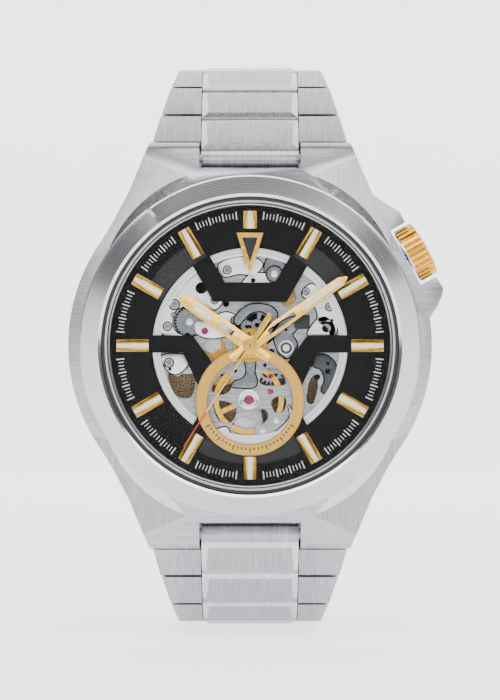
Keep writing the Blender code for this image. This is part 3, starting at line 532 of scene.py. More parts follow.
def scooped_bezel():
    slope = [19.15 + 2.2 * i / 7 for i in range(8)] + [BEZEL_RADIUS]
    turns = sorted([i * 1.5 for i in range(240)] + [322.86, 142.86])
    shape = bmesh.new()
    loops = []
    for turn in turns:
        angle = math.radians(90 - turn)
        profile = [(BEZEL_BORE, 9.26), (BEZEL_BORE, 11.28), (18.82, 11.33), (19.1, 11.48)]
        for radius in slope:
            height = BEZEL_TOP - (radius - 19.15) / 2.4 * 1.55
            profile.append((radius, height - scoop(turn, radius)))
        profile[-1] = (BEZEL_RADIUS, profile[-2][1] - 0.08)
        profile.append((BEZEL_RADIUS, 9.26))
        loops.append([shape.verts.new((r * MM * math.cos(angle), r * MM * math.sin(angle), h * MM))
                      for r, h in profile])
    for i, loop in enumerate(loops):
        following = loops[(i + 1) % len(loops)]
        for k in range(len(loop)):
            after = (k + 1) % len(loop)
            shape.faces.new((loop[k], loop[after], following[after], following[k]))
    bmesh.ops.recalc_face_normals(shape, faces=shape.faces)
    mesh = bpy.data.meshes.new("bezel_ring")
    shape.to_mesh(mesh)
    shape.free()
    return seated(new_piece("bezel_ring", mesh))


bezel = scooped_bezel()
bezel.data.materials.append(steel_ringed)
bezel.data.materials.append(steel_polished)
for face in bezel.data.polygons:
    if math.hypot(face.center.x, face.center.z) < 0.01914:
        face.material_index = 1
fitted(bezel, steel_ringed, "case", "brushed_steel", "bezel", smooth=14)
print("bezel faces:", len(bezel.data.polygons), "deepest scoop, mm:", scoop(-37.0, 21.5))

# %% Crystal, its seat and the ring under it
crystal = [(0, 11.4), (17.9, 11.4), (18.2, 11.28), (18.3, 11.1), (18.3, 10.15), (0, 10.15)]
fitted(seated(turned("front_crystal", crystal, 128, True)), glass_front, "case", "crystal", "crystal")
gasket = [(18.7, 11.1), (18.66, 11.2), (18.4, 11.2), (18.36, 11.1), (18.36, 10.1), (18.7, 10.1)]
fitted(seated(turned("front_gasket", gasket)), rubber_black, "case", "gasket_rubber", "crystal_gasket")
flange = [(18.5, 10.05), (18.5, 7.97), (17.72, 7.97), (17.84, 8.6), (17.9, 8.62), (18.02, 9.6), (18.1, 10.05)]
fitted(seated(turned("dial_flange", flange)), rhodium_ringed, "case", "rhodium_plate", "inner_flange")
print("glass and rings fitted")

# %% [markdown]
# ## Case back
# The back is a steel ring with six slots for the case wrench, and a glass through which the rotor shows.

# %% Back ring
ring = [(17.4, 1.7), (17.4, 0.35), (17.05, 0), (13.85, 0), (13.75, 0.1), (13.75, 0.95), (12.9, 0.95),
        (12.9, 2.4), (15.35, 2.4), (15.35, 1.7)]
back = turned("back_ring", ring)
for number in range(6):
    slot_cut = block("slot", (16.0, -0.9, -1), (17.8, 0.9, 0.8))
    slot_cut.data.transform(Matrix.Rotation(math.radians(number * 60 + 30), 4, "Z"))
    back = cut(back, slot_cut)
fitted(seated(softened(back, 0.08)), steel_ringed, "case", "brushed_steel", "case_back")
pane = [(0, 0.9), (13.65, 0.9), (13.65, 0.1), (13.55, 0), (0, 0)]
fitted(seated(turned("back_glass", pane, 128, True)), glass_back, "case", "crystal", "back_crystal")
print("case back fitted")

# %% [markdown]
# ## Dial
# The dial is a brass disc that is mostly cut away: a black ring carries the markers, five arms reach
# inward, and three panels between the arms are sunk and sandblasted. It is one sheet for the floor and one
# for the top.

# %% The dial's openings
DIAL_RADIUS, OPENING = 18.3, 12.4
RING_CENTRE = (0.0, -7.1)
RING_OUTER, RING_INNER = 6.9, 5.45
HALF_ARM = 1.25


def dial_openings():
    along = (math.cos(math.radians(120)), math.sin(math.radians(120)))
    aside = (along[1], -along[0])

    def arm_edge(offset, level):
        t = (level - offset * aside[1]) / along[1]
        return (t * along[0] + offset * aside[0], level)

    reach = math.degrees(math.asin(HALF_ARM / OPENING))
    corner = arm_edge(HALF_ARM, 8.0)
    top = arc(OPENING, 120 - reach, 60 + reach, 30) + [(-corner[0], 8.0), corner]
    start = 180 - math.degrees(math.asin(1.3 / OPENING))
    left = arc(OPENING, 120 + reach, start, 24) + [(-7.3, 1.3), polar(RING_OUTER, 134, RING_CENTRE)]
    right = [(-x, up) for x, up in reversed(left)]
    low_bar = arm_edge(-HALF_ARM, 5.57)
    middle = left + arc(RING_OUTER, 126, 54, 30, RING_CENTRE) + right + [(-low_bar[0], 5.57), low_bar]
    low_start = 180 + math.degrees(math.asin(0.9 / OPENING))
    lower = arc(OPENING, low_start, 240 - reach, 30) + [polar(RING_OUTER, 195.9, RING_CENTRE)]
    lower += arc(RING_OUTER, 190, 168, 12, RING_CENTRE) + [polar(RING_OUTER, 163, RING_CENTRE), (-8.5, -0.9)]
    return [top, middle, lower, [(-x, up) for x, up in lower], circle(5.6, RING_CENTRE, 96)]


# %% Floor, top and sunk panels
floor_outlines = [circle(DIAL_RADIUS, count=160)] + dial_openings()
floor_sheet = cut(plate("dial_plate", floor_outlines, 7.5, 7.72), rod("hub", 0.75, 7, 9))
panels = [(153.5, 116.0), (64.0, 26.5), (-64.0, -116.0)]
hidden = [sector(OPENING - 0.001, 15.0, a, b, count=24) for a, b in panels]
top_sheet = plate("top", [circle(DIAL_RADIUS, count=160)] + dial_openings(), 7.71, 7.9)
for outline in hidden:
    grown = outline[:24] + [(x * 0.97, y * 0.97) for x, y in outline[24:]]
    top_sheet = cut(top_sheet, plate("sunk", [grown], 7.6, 8.0))
top_sheet = cut(top_sheet, rod("hub", 0.75, 7, 9))
dial = fitted(seated(joined(floor_sheet, top_sheet)), lacquer_black, "case", "black_dial", "dial")
for number, outline in enumerate(hidden):
    outline = outline[:24] + [(x * 1.012, y * 1.012) for x, y in outline[24:]]
    panel = seated(plate(f"dial_panel_{number + 1}", [outline], 7.715, 7.78))
    fitted(panel, lacquer_anthracite, "case", "black_dial")
print("dial faces:", len(dial.data.polygons))

# %% [markdown]
# ## Minute track and hour markers
# The track is printed: a long line at each minute, three short ones between. Each hour marker is a gold bar
# with two polished slopes and a groove that is filled with white paint. The one at 12 is joined by a plain
# triangle pointing to the middle.


# %% Printed track
def bar_at(name, degrees, inner, outer, width, low, high):
    tool = block(name, (inner, -width / 2, low), (outer, width / 2, high))
    tool.data.transform(Matrix.Rotation(math.radians(degrees), 4, "Z"))
    return tool


PER_HOUR, PER_MINUTE, QUARTER = 30, 6, 1.5
LONG_LINE, SHORT_LINE = (16.04, 17.05, 0.15), (16.18, 16.86, 0.1)
ticks = []
for hour in range(12):
    for step in range(13):
        degrees = 90 - hour * PER_HOUR - PER_MINUTE - step * QUARTER
        inner, outer, width = SHORT_LINE if step % 4 else LONG_LINE
        ticks.append(bar_at("tick", degrees, inner, outer, width, 7.89, 7.93))
fitted(seated(merged("minute_track", ticks)), paint_track, "case", "black_dial")


# %% Gold markers
def marker(name, degrees, inner, outer, width):
    """A bar with two slopes and a groove, drawn as its cross-section and pulled out along the radius."""
    half, crest, base, groove = width / 2, 8.32, 7.88, width * 0.17
    section = [(-half, base), (half, base), (half, base + 0.12), (groove + 0.04, crest), (groove, crest),
               (groove, crest - 0.12), (-groove, crest - 0.12), (-groove, crest), (-groove - 0.04, crest),
               (-half, base + 0.12)]
    bar = plate(name, [section], inner, outer)
    bar.data.transform(ACROSS)
    bar = softened(bar, 0.06, 2, 40)
    paint = block(name + "_lume", (inner + 0.03, -groove, crest - 0.13), (outer - 0.03, groove, crest - 0.06))
    for piece in (bar, paint):
        piece.data.transform(Matrix.Rotation(math.radians(degrees), 4, "Z"))
    fitted(seated(bar), gold_polished, "case", "gold_plate", smooth=20)
    fitted(seated(paint), paint_lume, "case", "black_dial")


lengths = {0: (14.84, 17.07, 1.68), 3: (12.85, 16.95, 1.6), 6: (14.1, 17.0, 1.6), 9: (12.85, 16.95, 1.6)}
for hour in range(12):
    inner, outer, width = lengths.get(hour, (13.04, 16.97, 1.6))
    marker(f"hour_marker_{hour or 12}", 90 - hour * PER_HOUR, inner, outer, width)
triangle = [(-1.75, 14.3), (0.0, 8.7), (1.75, 14.3)]
inset = [(-0.95, 13.7), (0.0, 10.7), (0.95, 13.7)]
pointer = cut(plate("twelve_pointer", [triangle], 7.88, 8.16), plate("inset", [inset], 8.02, 9))
fitted(seated(softened(pointer, 0.1)), gold_polished, "case", "gold_plate")
fitted(seated(plate("twelve_inset", [inset], 8.0, 8.08)), lacquer_anthracite, "case", "black_dial")
print("markers: 12, ticks:", len(ticks))

# %% [markdown]
# ## Gold ring round the balance
# A flat gold ring frames the balance. Its lower half carries a plain engraved scale of small lines.

# %% The ring and its scale
frame_ring = [(RING_OUTER, 7.94), (RING_OUTER, 8.05), (RING_OUTER - 0.06, 8.1), (RING_INNER + 0.06, 8.1),
              (RING_INNER, 8.05), (RING_INNER, 7.94)]
frame_ring = cut(seated(turned("balance_frame", frame_ring), RING_CENTRE), seated(rod("hub", 0.75, 7, 9)))
fitted(frame_ring, gold_satin, "case", "gold_plate", "balance_window_ring")
scale = []
for number in range(25):
    outer = 6.2 if number % 4 else 6.5
    scale.append(bar_at("mark", 210 + number * 5, 5.85, outer, 0.16, 8.09, 8.115))
fitted(seated(merged("balance_scale", scale), RING_CENTRE), ink_dark, "case", "gold_plate")

# %% [markdown]
# ## Hands
# The hour and minute hands are gold bars with a roof-shaped top. Near the tip a slot is filled with white
# paint, and the slot nearer the middle is left open. The roof is made by lifting the points near the centre
# line.


# %% Roofed hands
HOUR_SPIN, MINUTE_SPIN, SWEEP_SPIN = -305, -54.8, -213.3
ROOF_RISE = 0.33


def hand(name, length, hub, root, tip, slots, low, high, spin, body):
    leave = math.degrees(math.asin(root / hub))
    side = [(0.5, -3.0), (0.62, -0.9)] + arc(hub, -50, 90 - leave, 12) + [(tip, length - 1.0), (0.1, length)]
    outline = side + [(-x, y) for x, y in reversed(side)]
    holes = [[(w, a), (w, b), (-w, b), (-w, a)] for a, b, w, filled in slots]
    bar = plate(name + "_roofed", [outline] + holes, low, high)
    shape = bmesh.new()
    shape.from_mesh(bar.data)
    for x in (0.0, 0.3, -0.3):
        everything = list(shape.verts) + list(shape.edges) + list(shape.faces)
        bmesh.ops.bisect_plane(shape, geom=everything, plane_co=(x * MM, 0, 0), plane_no=(1, 0, 0), dist=1e-7)
    for vertex in shape.verts:
        if vertex.co.z > (low + high) / 2 * MM:
            vertex.co.z += ROOF_RISE * MM * max(0.0, 1 - abs(vertex.co.x) / (root * MM))
    shape.to_mesh(bar.data)
    shape.free()
    bore = plate("bore", [circle(0.35)], low - 1, high + 1)
    fitted(seated(cut(bar, bore), spin=spin), gold_polished, body, "gold_plate", name, smooth=9)
    for number, (a, b, w, filled) in enumerate(slots):
        if filled:
            strip = block(f"{name}_lume_{number + 1}", (-w, a, low + 0.04), (w, b, high + 0.06))
            fitted(seated(strip, spin=spin), paint_lume, body, "gold_plate")


hour_slots = [(2.6, 4.9, 0.36, False), (5.9, 8.6, 0.42, True)]
minute_slots = [(2.9, 7.0, 0.34, False), (8.0, 14.0, 0.3, True)]
hand("hour_hand", 10.96, 1.15, 0.92, 0.78, hour_slots, 8.2, 8.36, HOUR_SPIN, "hours")
hand("minute_hand", 15.05, 1.0, 0.84, 0.6, minute_slots, 8.75, 8.9, MINUTE_SPIN, "centre")
print("roofed hands fitted, slots:", len(hour_slots) + len(minute_slots))

# %% The sweep hand
needle = [(0.3, -4.75), (0.38, -4.3), (0.3, -1.0), (0.55, -0.64)] + arc(0.84, -40, 72, 12)
needle += [(0.13, 1.2), (0.1, 10.2)]
needle = plate("sweep_hand", [needle + [(-x, y) for x, y in reversed(needle)]], 9.3, 9.4)
needle = seated(softened(needle, 0.02), spin=SWEEP_SPIN)
fitted(needle, gold_polished, "seconds", "gold_plate", "seconds_hand")
cap = turned("sweep_hand_hub", [(0.14, 9.5), (0.6, 9.52), (0.86, 9.46), (0.9, 9.28), (0.14, 9.28)], 64)
fitted(seated(cap), gold_satin, "seconds", "gold_plate")
pin = turned("sweep_hand_pin", [(0, 9.5), (0.08, 9.49), (0.13, 9.45), (0.13, 9.3), (0, 9.3)], 32, True)
fitted(seated(pin), steel_dark, "seconds", "gold_plate")
tip = [(0.1, 10.15), (0.06, 15.3), (-0.06, 15.3), (-0.1, 10.15)]
fitted(seated(plate("sweep_hand_tip", [tip], 9.3, 9.41), spin=SWEEP_SPIN), paint_red, "seconds", "gold_plate")
print("hands fitted")

# %% [markdown]
# ## The movement seen from the dial side
# The mainplate is milled brass with rhodium plate, opened so that the balance, the barrel and the wheels
# show. Bridges and levers lie on it, each held by screws whose heads sit in countersinks. The dark of the
# countersinks, a dark sheet a little larger than each bridge and lever laid under it, and dark discs and cups
# under the wheels and in the pin holes are painted shade: this painted shade draws the lines between the
# parts.

# %% The mainplate and its windows
BALANCE = (-0.15, -6.9)
BARREL = polar(5.95, 72.5)
THIRD = polar(4.05, 202.3)
MINUTE = (0.9, 2.6)
DATE_STUB = (-7.7, 3.0)
TRANSFER = (3.1, 9.1)
HUB = (4.6, -0.3)
bean_windows = [
    [(1.2, -4.3), (2.3, -2.9), (4.0, -3.4), (4.5, -4.9), (3.0, -5.1), (1.6, -5.0)],
    [(-4.9, -5.6), (-4.2, -4.2), (-3.0, -3.3), (-2.4, -4.6), (-2.6, -5.8), (-3.9, -6.3)],
    [(-4.7, -7.2), (-3.2, -7.1), (-1.9, -7.6), (-1.8, -8.9), (-2.7, -9.9), (-4.1, -9.4)],
    [(-2.5, -10.3), (-0.9, -9.0), (0.3, -9.2), (0.8, -10.4), (0.2, -11.5), (-1.4, -11.4)],
    [(1.0, -8.3), (2.0, -8.2), (2.3, -9.2), (1.6, -9.9), (1.1, -9.5)],
    [(2.7, -7.2), (3.6, -6.4), (4.6, -6.9), (4.3, -8.3), (3.2, -8.5)],
]
side_windows = [
    [(-10.5, -3.4), (-9.2, -3.9), (-7.5, -2.7), (-6.9, -4.6), (-7.6, -6.6), (-9.6, -6.2)],
    [(7.6, -4.4), (8.5, -3.8), (8.6, -5.6), (8.0, -7.4), (7.2, -7.0)],
    [(-6.4, -0.2), (-4.9, 0.9), (-3.4, 0.6), (-3.0, -1.2), (-4.4, -2.9), (-6.0, -2.2)],
    [(-2.9, 7.3), (-1.0, 8.0), (-0.6, 6.3), (-2.0, 5.6)],
    [(3.3, 6.6), (5.0, 7.6), (5.9, 6.0), (4.6, 4.9)],
]
holes = [circle(0.8)] + [flowing(line) for line in bean_windows + side_windows]
mainplate = seated(plate("mainplate_front", [circle(13.0, count=120)] + holes, 5.9, 6.7))
slot_tool = along_crown(block("slot", (-1.3, -1.3, 8.7), (1.3, 1.3, 14.0)))
mainplate = cut(mainplate, slot_tool)
fitted(softened(mainplate, 0.05, 1), rhodium_darker_base, "case", "rhodium_plate", "mainplate")
print("windows:", len(holes))

# %% The holder ring
holder = [(15.3, 7.35), (15.3, 2.6), (13.2, 2.6), (13.2, 6.85), (11.4, 6.85), (11.4, 7.2), (11.75, 7.22),
          (11.8, 7.35)]
holder = cut(seated(turned("holder_ring", holder)), along_crown(rod("slot", 0.6, 10.0, 16.0)))
fitted(holder, rhodium_ringed, "case", "rhodium_plate", "movement_holder")


# %% Screws and jewels
def screw(name, centre, top, radius=0.55, slot_angle=30.0, face=1, metal=steel_polished):
    """A flat screw head with a slot. Face is 1 towards the dial and -1 towards the back."""
    head = cut(rod(name, radius, -0.2, 0.12, steps=40), block("slot", (-2, -0.09, 0.05), (2, 0.09, 1)))
    head = softened(head, 0.03, 2, 40)
    head.data.transform(Matrix.Rotation(math.radians(slot_angle), 4, "Z"))
    if face < 0:
        head.data.transform(Matrix.Rotation(math.pi, 4, "X"))
    return fitted(seated(head, centre, top), metal, "case", "tempered_steel")


# A countersink is a thin ring of the dark grey steel round a screw head: its dark colour is painted shade in
# the hollow.
def countersink(name, centre, top, radius):
    ring = turned(name, [(radius, 0.03), (radius, -0.1), (radius * 0.66, -0.1), (radius * 0.66, 0.0)], 48)
    return fitted(seated(ring, centre, top), steel_dark, "case", "tempered_steel")


def jewel(name, centre, top, radius, face=1):
    dome = [(0, 0.02), (radius * 0.25, 0.0), (radius * 0.75, 0.1), (radius, 0.04), (radius, -0.3), (0, -0.3)]
    stone = turned(name, dome, 40, True)
    if face < 0:
        stone.data.transform(Matrix.Rotation(math.pi, 4, "X"))
    return fitted(seated(stone, centre, top), ruby, "case", "tempered_steel")


# %% Bridges on the dial side
TOP = 6.7
bridges = {
    "day_bridge": (
        rhodium_grained, TOP, 6.98,
        [(-11.2, 1.6), (-11.0, 3.4), (-9.9, 5.9), (-7.7, 8.3), (-5.2, 9.9), (-3.7, 8.6), (-3.3, 6.3),
         (-4.4, 4.6), (-6.3, 5.2), (-7.0, 5.3), (-9.3, 4.6), (-9.9, 3.0), (-9.3, 1.6), (-7.2, 0.9),
         (-8.2, 0.2)],
        [circle(0.75, (-6.2, 7.3), 24)],
    ),
    "third_bridge": (
        rhodium_grained, TOP, 6.92,
        [(-6.9, 2.9), (-5.7, 3.1), (-3.2, 4.2), (-1.7, 3.5), (-2.4, 1.6), (-4.0, 1.0), (-5.6, 1.0),
         (-6.8, 1.6)],
        [],
    ),
    "intermediate_bridge": (
        steel_blued_grey, TOP, 7.02,
        [(3.9, -1.3), (3.2, 0.3), (3.1, 1.6), (3.9, 2.9), (5.6, 3.6), (6.2, 2.5), (5.4, 1.4), (6.0, 0.2),
         (5.5, -1.2), (4.8, -1.6)],
        [],
    ),
    "minute_bridge": (
        steel_blued_grey, 7.32, 7.44,
        [(-1.2, 4.4), (0.2, 5.2), (2.2, 5.1), (3.4, 4.2), (3.3, 2.7), (2.5, 2.3), (2.6, 3.4), (1.6, 4.3),
         (0.2, 4.2), (-0.7, 3.4), (-1.5, 2.6), (-2.0, 3.3)],
        [],
    ),
    "keyless_cover": (
        rhodium_grained, TOP, 7.0,
        [(7.4, 1.3), (9.5, 0.3), (11.0, 1.8), (10.9, 4.4), (9.6, 6.4), (7.9, 7.8), (6.6, 6.6),
         (8.2, 5.0), (8.6, 3.6), (7.9, 2.6)],
        [circle(0.55, (9.7, 2.2), 24)],
    ),
    "setting_lever": (
        steel_dark, TOP, 7.02,
        [(8.3, -1.2), (10.0, -1.4), (11.1, -2.9), (10.9, -4.6), (9.9, -6.0), (9.1, -5.7), (9.5, -4.3),
         (9.0, -3.0), (8.1, -2.6)],
        [[(9.6, -3.0), (10.2, -3.0), (10.2, -3.6), (9.6, -3.6)]],
    ),
    "yoke": (
        steel_blued_grey, 6.72, 7.0,
        [(8.6, 3.4), (9.6, 3.7), (10.6, 2.9), (10.9, 1.7), (10.2, 1.2), (9.8, 2.3), (9.0, 2.7)],
        [],
    ),
    "twelve_plate": (
        rhodium_grained, TOP, 7.0,
        [(-4.0, 10.2), (-3.4, 8.8), (-1.4, 9.1), (0.6, 9.1), (1.6, 10.4), (0.2, 11.2), (-2.2, 11.1)],
        [],
    ),
    "twelve_lever": (
        steel_blued_grey, TOP, 7.0,
        [(2.1, 10.9), (1.9, 9.3), (3.0, 8.2), (4.4, 8.0), (5.3, 9.0), (4.3, 10.4), (3.1, 11.1)],
        [circle(0.32, (3.9, 9.0), 20)],
    ),
    "banking_foot": (
        steel_blued_grey, TOP, 6.96,
        [(-0.55, -1.9), (0.6, -1.9), (0.6, -3.4), (0.9, -4.6), (0.4, -5.3), (-1.4, -5.35), (-2.3, -5.2),
         (-2.0, -4.6), (-0.9, -4.2), (-0.45, -3.3)],
        [],
    ),
    "barrel_ring": (
        rhodium_grained, TOP, 6.9,
        [(-0.2, 8.9), (-1.6, 7.0), (-1.5, 5.9), (-0.4, 6.9), (1.2, 7.9), (3.4, 7.9), (2.6, 8.9),
         (1.2, 9.2)],
        [circle(0.3, (0.4, 8.3), 20)],
    ),
    "wheel_bridge": (
        rhodium_grained, TOP, 6.88,
        [(6.3, -0.6), (7.4, 0.4), (8.9, -0.2), (8.0, -1.4), (7.6, -3.0), (6.9, -2.2)],
        [circle(0.34, (7.5, -0.5), 20)],
    ),
    "cock_rib": (
        rhodium_grained, TOP, 6.86,
        [(-4.6, -11.0), (-3.0, -10.4), (-1.9, -12.0), (1.6, -12.0), (3.4, -10.9), (5.0, -9.2),
         (4.9, -7.6), (5.6, -9.4), (4.2, -11.4), (1.8, -12.5), (-2.2, -12.5), (-4.2, -11.7)],
        [],
    ),
    "left_bridge": (
        rhodium_grained, TOP, 6.94,
        [(-11.2, -1.3), (-10.4, -3.2), (-9.2, -3.6), (-7.9, -2.4), (-8.3, -1.2)],
        [],
    ),
}


def outset(points, distance):
    """The same outline, a little larger all round: each point moves out square to its neighbours."""
    area = sum(x * after[1] - after[0] * y for (x, y), after in zip(points, points[1:] + points[:1]))
    out = math.copysign(distance, area)
    grown = []
    for before, (x, y), after in zip(points[-1:] + points[:-1], points, points[1:] + points[:1]):
        run, rise = after[0] - before[0], after[1] - before[1]
        length = math.hypot(run, rise)
        grown.append((x + out * rise / length, y - out * run / length))
    return grown


for name, (metal, low, high, line, gaps) in bridges.items():
    # Under each bridge and lever lies a dark sheet a little larger than it: painted shade for the gap round
    # it.
    shade_sheet = plate(name + "_painted_shade", [outset(flowing(line), 0.16)], low - 0.03, low + 0.03)
    fitted(seated(shade_sheet), painted_shade_dark, "case", "rhodium_plate")
    sheet = plate(name, [flowing(line)] + gaps, low, high)
    fitted(seated(softened(sheet, 0.05, 2)), metal, "case", "rhodium_plate")
print("bridges on the dial side:", len(bridges))

# %% Their screws and jewels
bridge_screws = [(-9.6, 5.2, 6.98, 0.5), (-10.5, 2.45, 6.98, 0.42), (-10.3, -2.2, 6.94, 0.45),
                 (-4.5, 5.7, 6.98, 0.34), (-9.7, 3.9, 6.98, 0.26), (7.1, 6.9, 7.0, 0.35),
                 (10.1, 4.9, 7.0, 0.4), (-2.9, 9.6, 7.0, 0.4), (-1.9, 3.2, 7.0, 0.42)]
for number, (x, y, top, size) in enumerate(bridge_screws):
    countersink(f"countersink_{number + 1}", (x, y), top, size * 1.5)
    screw(f"bridge_screw_{number + 1}", (x, y), top, size * 0.85, 20 + number * 47, metal=steel_blued_grey)
for number, (x, y) in enumerate([(3.35, -9.55), (1.6, -10.85)]):
    screw(f"cock_screw_{number + 1}", (x, y), TOP, 0.36, 35 + number * 80)
dial_jewels = [(-5.75, 1.85, 6.92, 0.44), (2.6, -5.85, TOP, 0.4), (2.62, -3.9, TOP, 0.3)]
for number, (x, y, top, size) in enumerate(dial_jewels):
    jewel(f"dial_side_jewel_{number + 1}", (x, y), top, size)
print("screws:", len(bridge_screws) + 2, "jewels:", len(dial_jewels))

# %% Pin holes and the painted shade under the wheels
pockets = [(-7.95, 1.3, 6.98, 0.42), (-3.05, 5.3, 6.75, 0.5), (2.75, -0.75, 6.75, 0.42),
           (7.7, 7.3, 6.75, 0.5), (8.6, -4.0, 6.75, 0.4), (9.9, -2.3, 7.02, 0.26),
           (8.55, 2.3, 6.75, 0.36), (-5.0, 7.9, 6.98, 0.34),
           (-9.4, 6.6, 6.75, 0.36), (-10.2, -3.0, 6.94, 0.26), (5.4, 3.0, 7.02, 0.3), (4.6, 2.0, 7.02, 0.24),
           (10.4, 3.2, 7.0, 0.24), (-6.0, 4.2, 6.75, 0.34), (-1.9, -3.2, 6.75, 0.3), (1.9, -2.5, 6.75, 0.28)]
# Each pin hole is a shallow dark cup: its dark colour is painted shade inside the hole.
for number, (x, y, top, size) in enumerate(pockets):
    cup = [(size, 0.03), (size, -0.12), (0, -0.12), (0, 0.01), (size * 0.8, 0.01)]
    pocket = turned(f"pin_hole_{number + 1}", cup, 40, True)
    fitted(seated(pocket, (x, y), top), painted_shade_dark, "case", "rhodium_plate")
# Each wheel turns over a thin dark disc: painted shade for a recess under it.
for name, centre, radius, top in (
    ("motion_painted_shade", MINUTE, 2.75, 6.74),
    ("date_painted_shade", DATE_STUB, 1.98, 6.715),
    ("transfer_painted_shade", TRANSFER, 1.15, 7.015),
):
    shade_sheet = seated(plate(name, [circle(radius)], top - 0.04, top), centre)
    fitted(shade_sheet, painted_shade_dark, "case", "rhodium_plate")
print("pin holes:", len(pockets))

# %% The concentric hub and the small wheels
hub_profile = [(0, 7.2), (0.22, 7.2), (0.24, 7.1), (0.45, 7.1), (0.5, 7.18), (0.72, 7.18), (0.78, 7.06),
               (0.95, 7.06), (0.98, 6.9), (0, 6.9)]
hub = turned("concentric_hub", hub_profile, 48, True)
ring = turned("concentric_ring", [(0.72, 7.22), (0.72, 7.1), (0.44, 7.1), (0.44, 7.22)], 48)
fitted(seated(ring, HUB), steel_dark, "case", "tempered_steel")
fitted(seated(hub, HUB), rhodium_ringed, "case", "rhodium_plate")
for name, centre, teeth, radius, low, high, metal in (
    ("date_wheel_stub", DATE_STUB, 28, 1.75, 6.72, 6.88, steel_blued_grey),
    ("small_transfer_wheel", TRANSFER, 16, 0.95, 7.02, 7.16, steel_blued_grey),
):
    disc = plate(name, [gear(teeth, radius), circle(0.3, count=24)], low, high)
    fitted(seated(disc, centre), metal, "case", "tempered_steel")
    screw(name + "_screw", centre, high, 0.42, 60)
black_block = seated(softened(block("stem_shroud", (5.6, 2.1, 6.7), (7.6, 3.9, 7.08)), 0.12))
fitted(black_block, rubber_black, "case", "black_dial")
spring = [(8.3, 5.6), (8.6, 4.3), (9.3, 4.4), (9.3, 5.7), (9.0, 5.7), (8.98, 4.9), (8.75, 4.9), (8.6, 5.7)]
spring = plate("click_spring", [flowing(spring, 4)], 7.0, 7.12)
fitted(seated(spring), steel_polished, "case", "tempered_steel")

# %% The balance's shock setting
setting = [(1.3, 7.0), (1.3, 6.65), (0.62, 6.65), (0.62, 6.86), (0.8, 6.9), (0.85, 6.82), (1.0, 6.82),
           (1.05, 6.95), (1.2, 7.0)]
fitted(seated(turned("shock_setting", setting, 64), BALANCE), steel_polished, "case", "tempered_steel")
cap_dome = [(0, 6.98), (0.3, 6.96), (0.52, 6.88), (0.62, 6.75), (0.62, 6.5), (0, 6.5)]
fitted(seated(turned("cap_jewel", cap_dome, 48, True), BALANCE), ruby, "case", "tempered_steel")
print("dial-side furniture fitted")

# %% [markdown]
# ## Pieces that keep their frame shape
# Wheels, springs and arbors already have their true teeth and sizes, so only their finish is added here.

# %% Finishes on the frame's own pieces
own = {
    brass_turned: ["barrel", "centre_wheel", "third_wheel", "fourth_wheel", "hour_wheel"],
    gold_polished: ["balance_wheel"],
    steel_blued_grey: ["minute_wheel", "crown_wheel", "ratchet_wheel", "click", "cannon_pinion"],
    steel_hidden: ["escape_wheel", "pallet_fork", "hairspring", "mainspring", "barrel_arbor",
                   "winding_pinion", "winding_stem", "rotor_bearing", "spring_bar_12", "spring_bar_6"],
    rhodium_grained: ["train_bridge", "balance_bridge"],
    weight_bronze: ["rotor"],
    rubber_black: ["crown_gasket"],
    steel_polished: ["push_button_left", "push_button_right"],
}
for metal, names in own.items():
    for name in names:
        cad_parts[name].data.materials.clear()
        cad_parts[name].data.materials.append(metal)
print("frame pieces finished:", sum(len(names) for names in own.values()))

# %% [markdown]
# ## The movement seen from the back
# Through the back glass the rotor swings over the bridges. Their jewels and screws face the wearer's wrist.

# %% Back-side jewels, screws and the rotor's centre
UNDER = 3.0
for number, place in enumerate([(0.0, 2.2), THIRD, BARREL, (6.0, 0.2), BALANCE]):
    jewel(f"back_jewel_{number + 1}", place, UNDER, 0.42, -1)
back_screws = [polar(11.4, degrees) for degrees in (8, 60, 120, 170)] + [(-1.2, -11.2), (0.9, -11.2)]
for number, place in enumerate(back_screws):
    screw(f"back_screw_{number + 1}", place, UNDER, 0.5, number * 50, -1, steel_polished)
bearing = turned("bearing_cap", [(0, 1.45), (0.45, 1.45), (0.5, 1.55), (0.95, 1.55), (1.05, 1.7), (1.05, 1.8),
                                 (0, 1.8)], 48, True)
for number in range(3):
    hole = rod("hole", 0.14, 1.3, 1.62, polar(0.72, 90 + number * 120), 16)
    bearing = cut(bearing, hole)
fitted(seated(bearing), steel_polished, "case", "tempered_steel")
rib = [sector(9.9, 10.25, 190, 350, count=60), sector(2.6, 2.85, 200, 340, count=30)]
for number, line in enumerate(rib):
    fitted(seated(plate(f"rotor_rib_{number + 1}", [line], 1.62, 1.72), spin=-20), gold_polished, "rotor",
           "rhodium_plate")
for number, degrees in enumerate((196, 344)):
    stud = screw(f"rotor_screw_{number + 1}", polar(11.4, degrees - 20), 1.7, 0.45, 40, -1, steel_polished)
    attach(stud, "rotor")
print("rotor dressed")

# %% [markdown]
# ## Crown
# The crown is steel with gold plate. Its rim has thirty flutes for grip, and its flat end is slightly
# domed.

# %% Fluted crown
count, radius = 30, 3.6
flutes = []
for number in range(count):
    for share, drop in ((0.0, 0.0), (0.22, 0.02), (0.45, 0.0), (0.58, 0.22), (0.72, 0.3), (0.87, 0.22)):
        flutes.append(polar(radius - drop, (number + share) * 360 / count))
crown = along_crown(plate("fluted_crown", [flutes], 23.1, 25.45))
dome = [(0, 25.8), (1.6, 25.78), (2.7, 25.66), (3.1, 25.45), (3.1, 25.2), (0, 25.2)]
end = along_crown(turned("end", dome, 96, True))
collar = along_crown(turned("collar", [(3.3, 23.35), (3.3, 22.95), (1.75, 22.95), (1.75, 23.35)], 96))
crown = cut(joined(crown, end), along_crown(rod("cavity", 1.7, 22.1, 24.35)))
fitted(softened(crown, 0.07, 2, 40), gold_polished, "crown", "gold_plate", "crown")
fitted(collar, steel_polished, "crown", "gold_plate")
print("crown flutes:", count)

# %% [markdown]
# ## Bracelet
# Each link is a raised centre bar and two outer bars that trail it by half a link. The rounded end of each
# bar turns in the hollow of the next. The bars are brushed lengthways, and the centre bar's edges are
# polished.

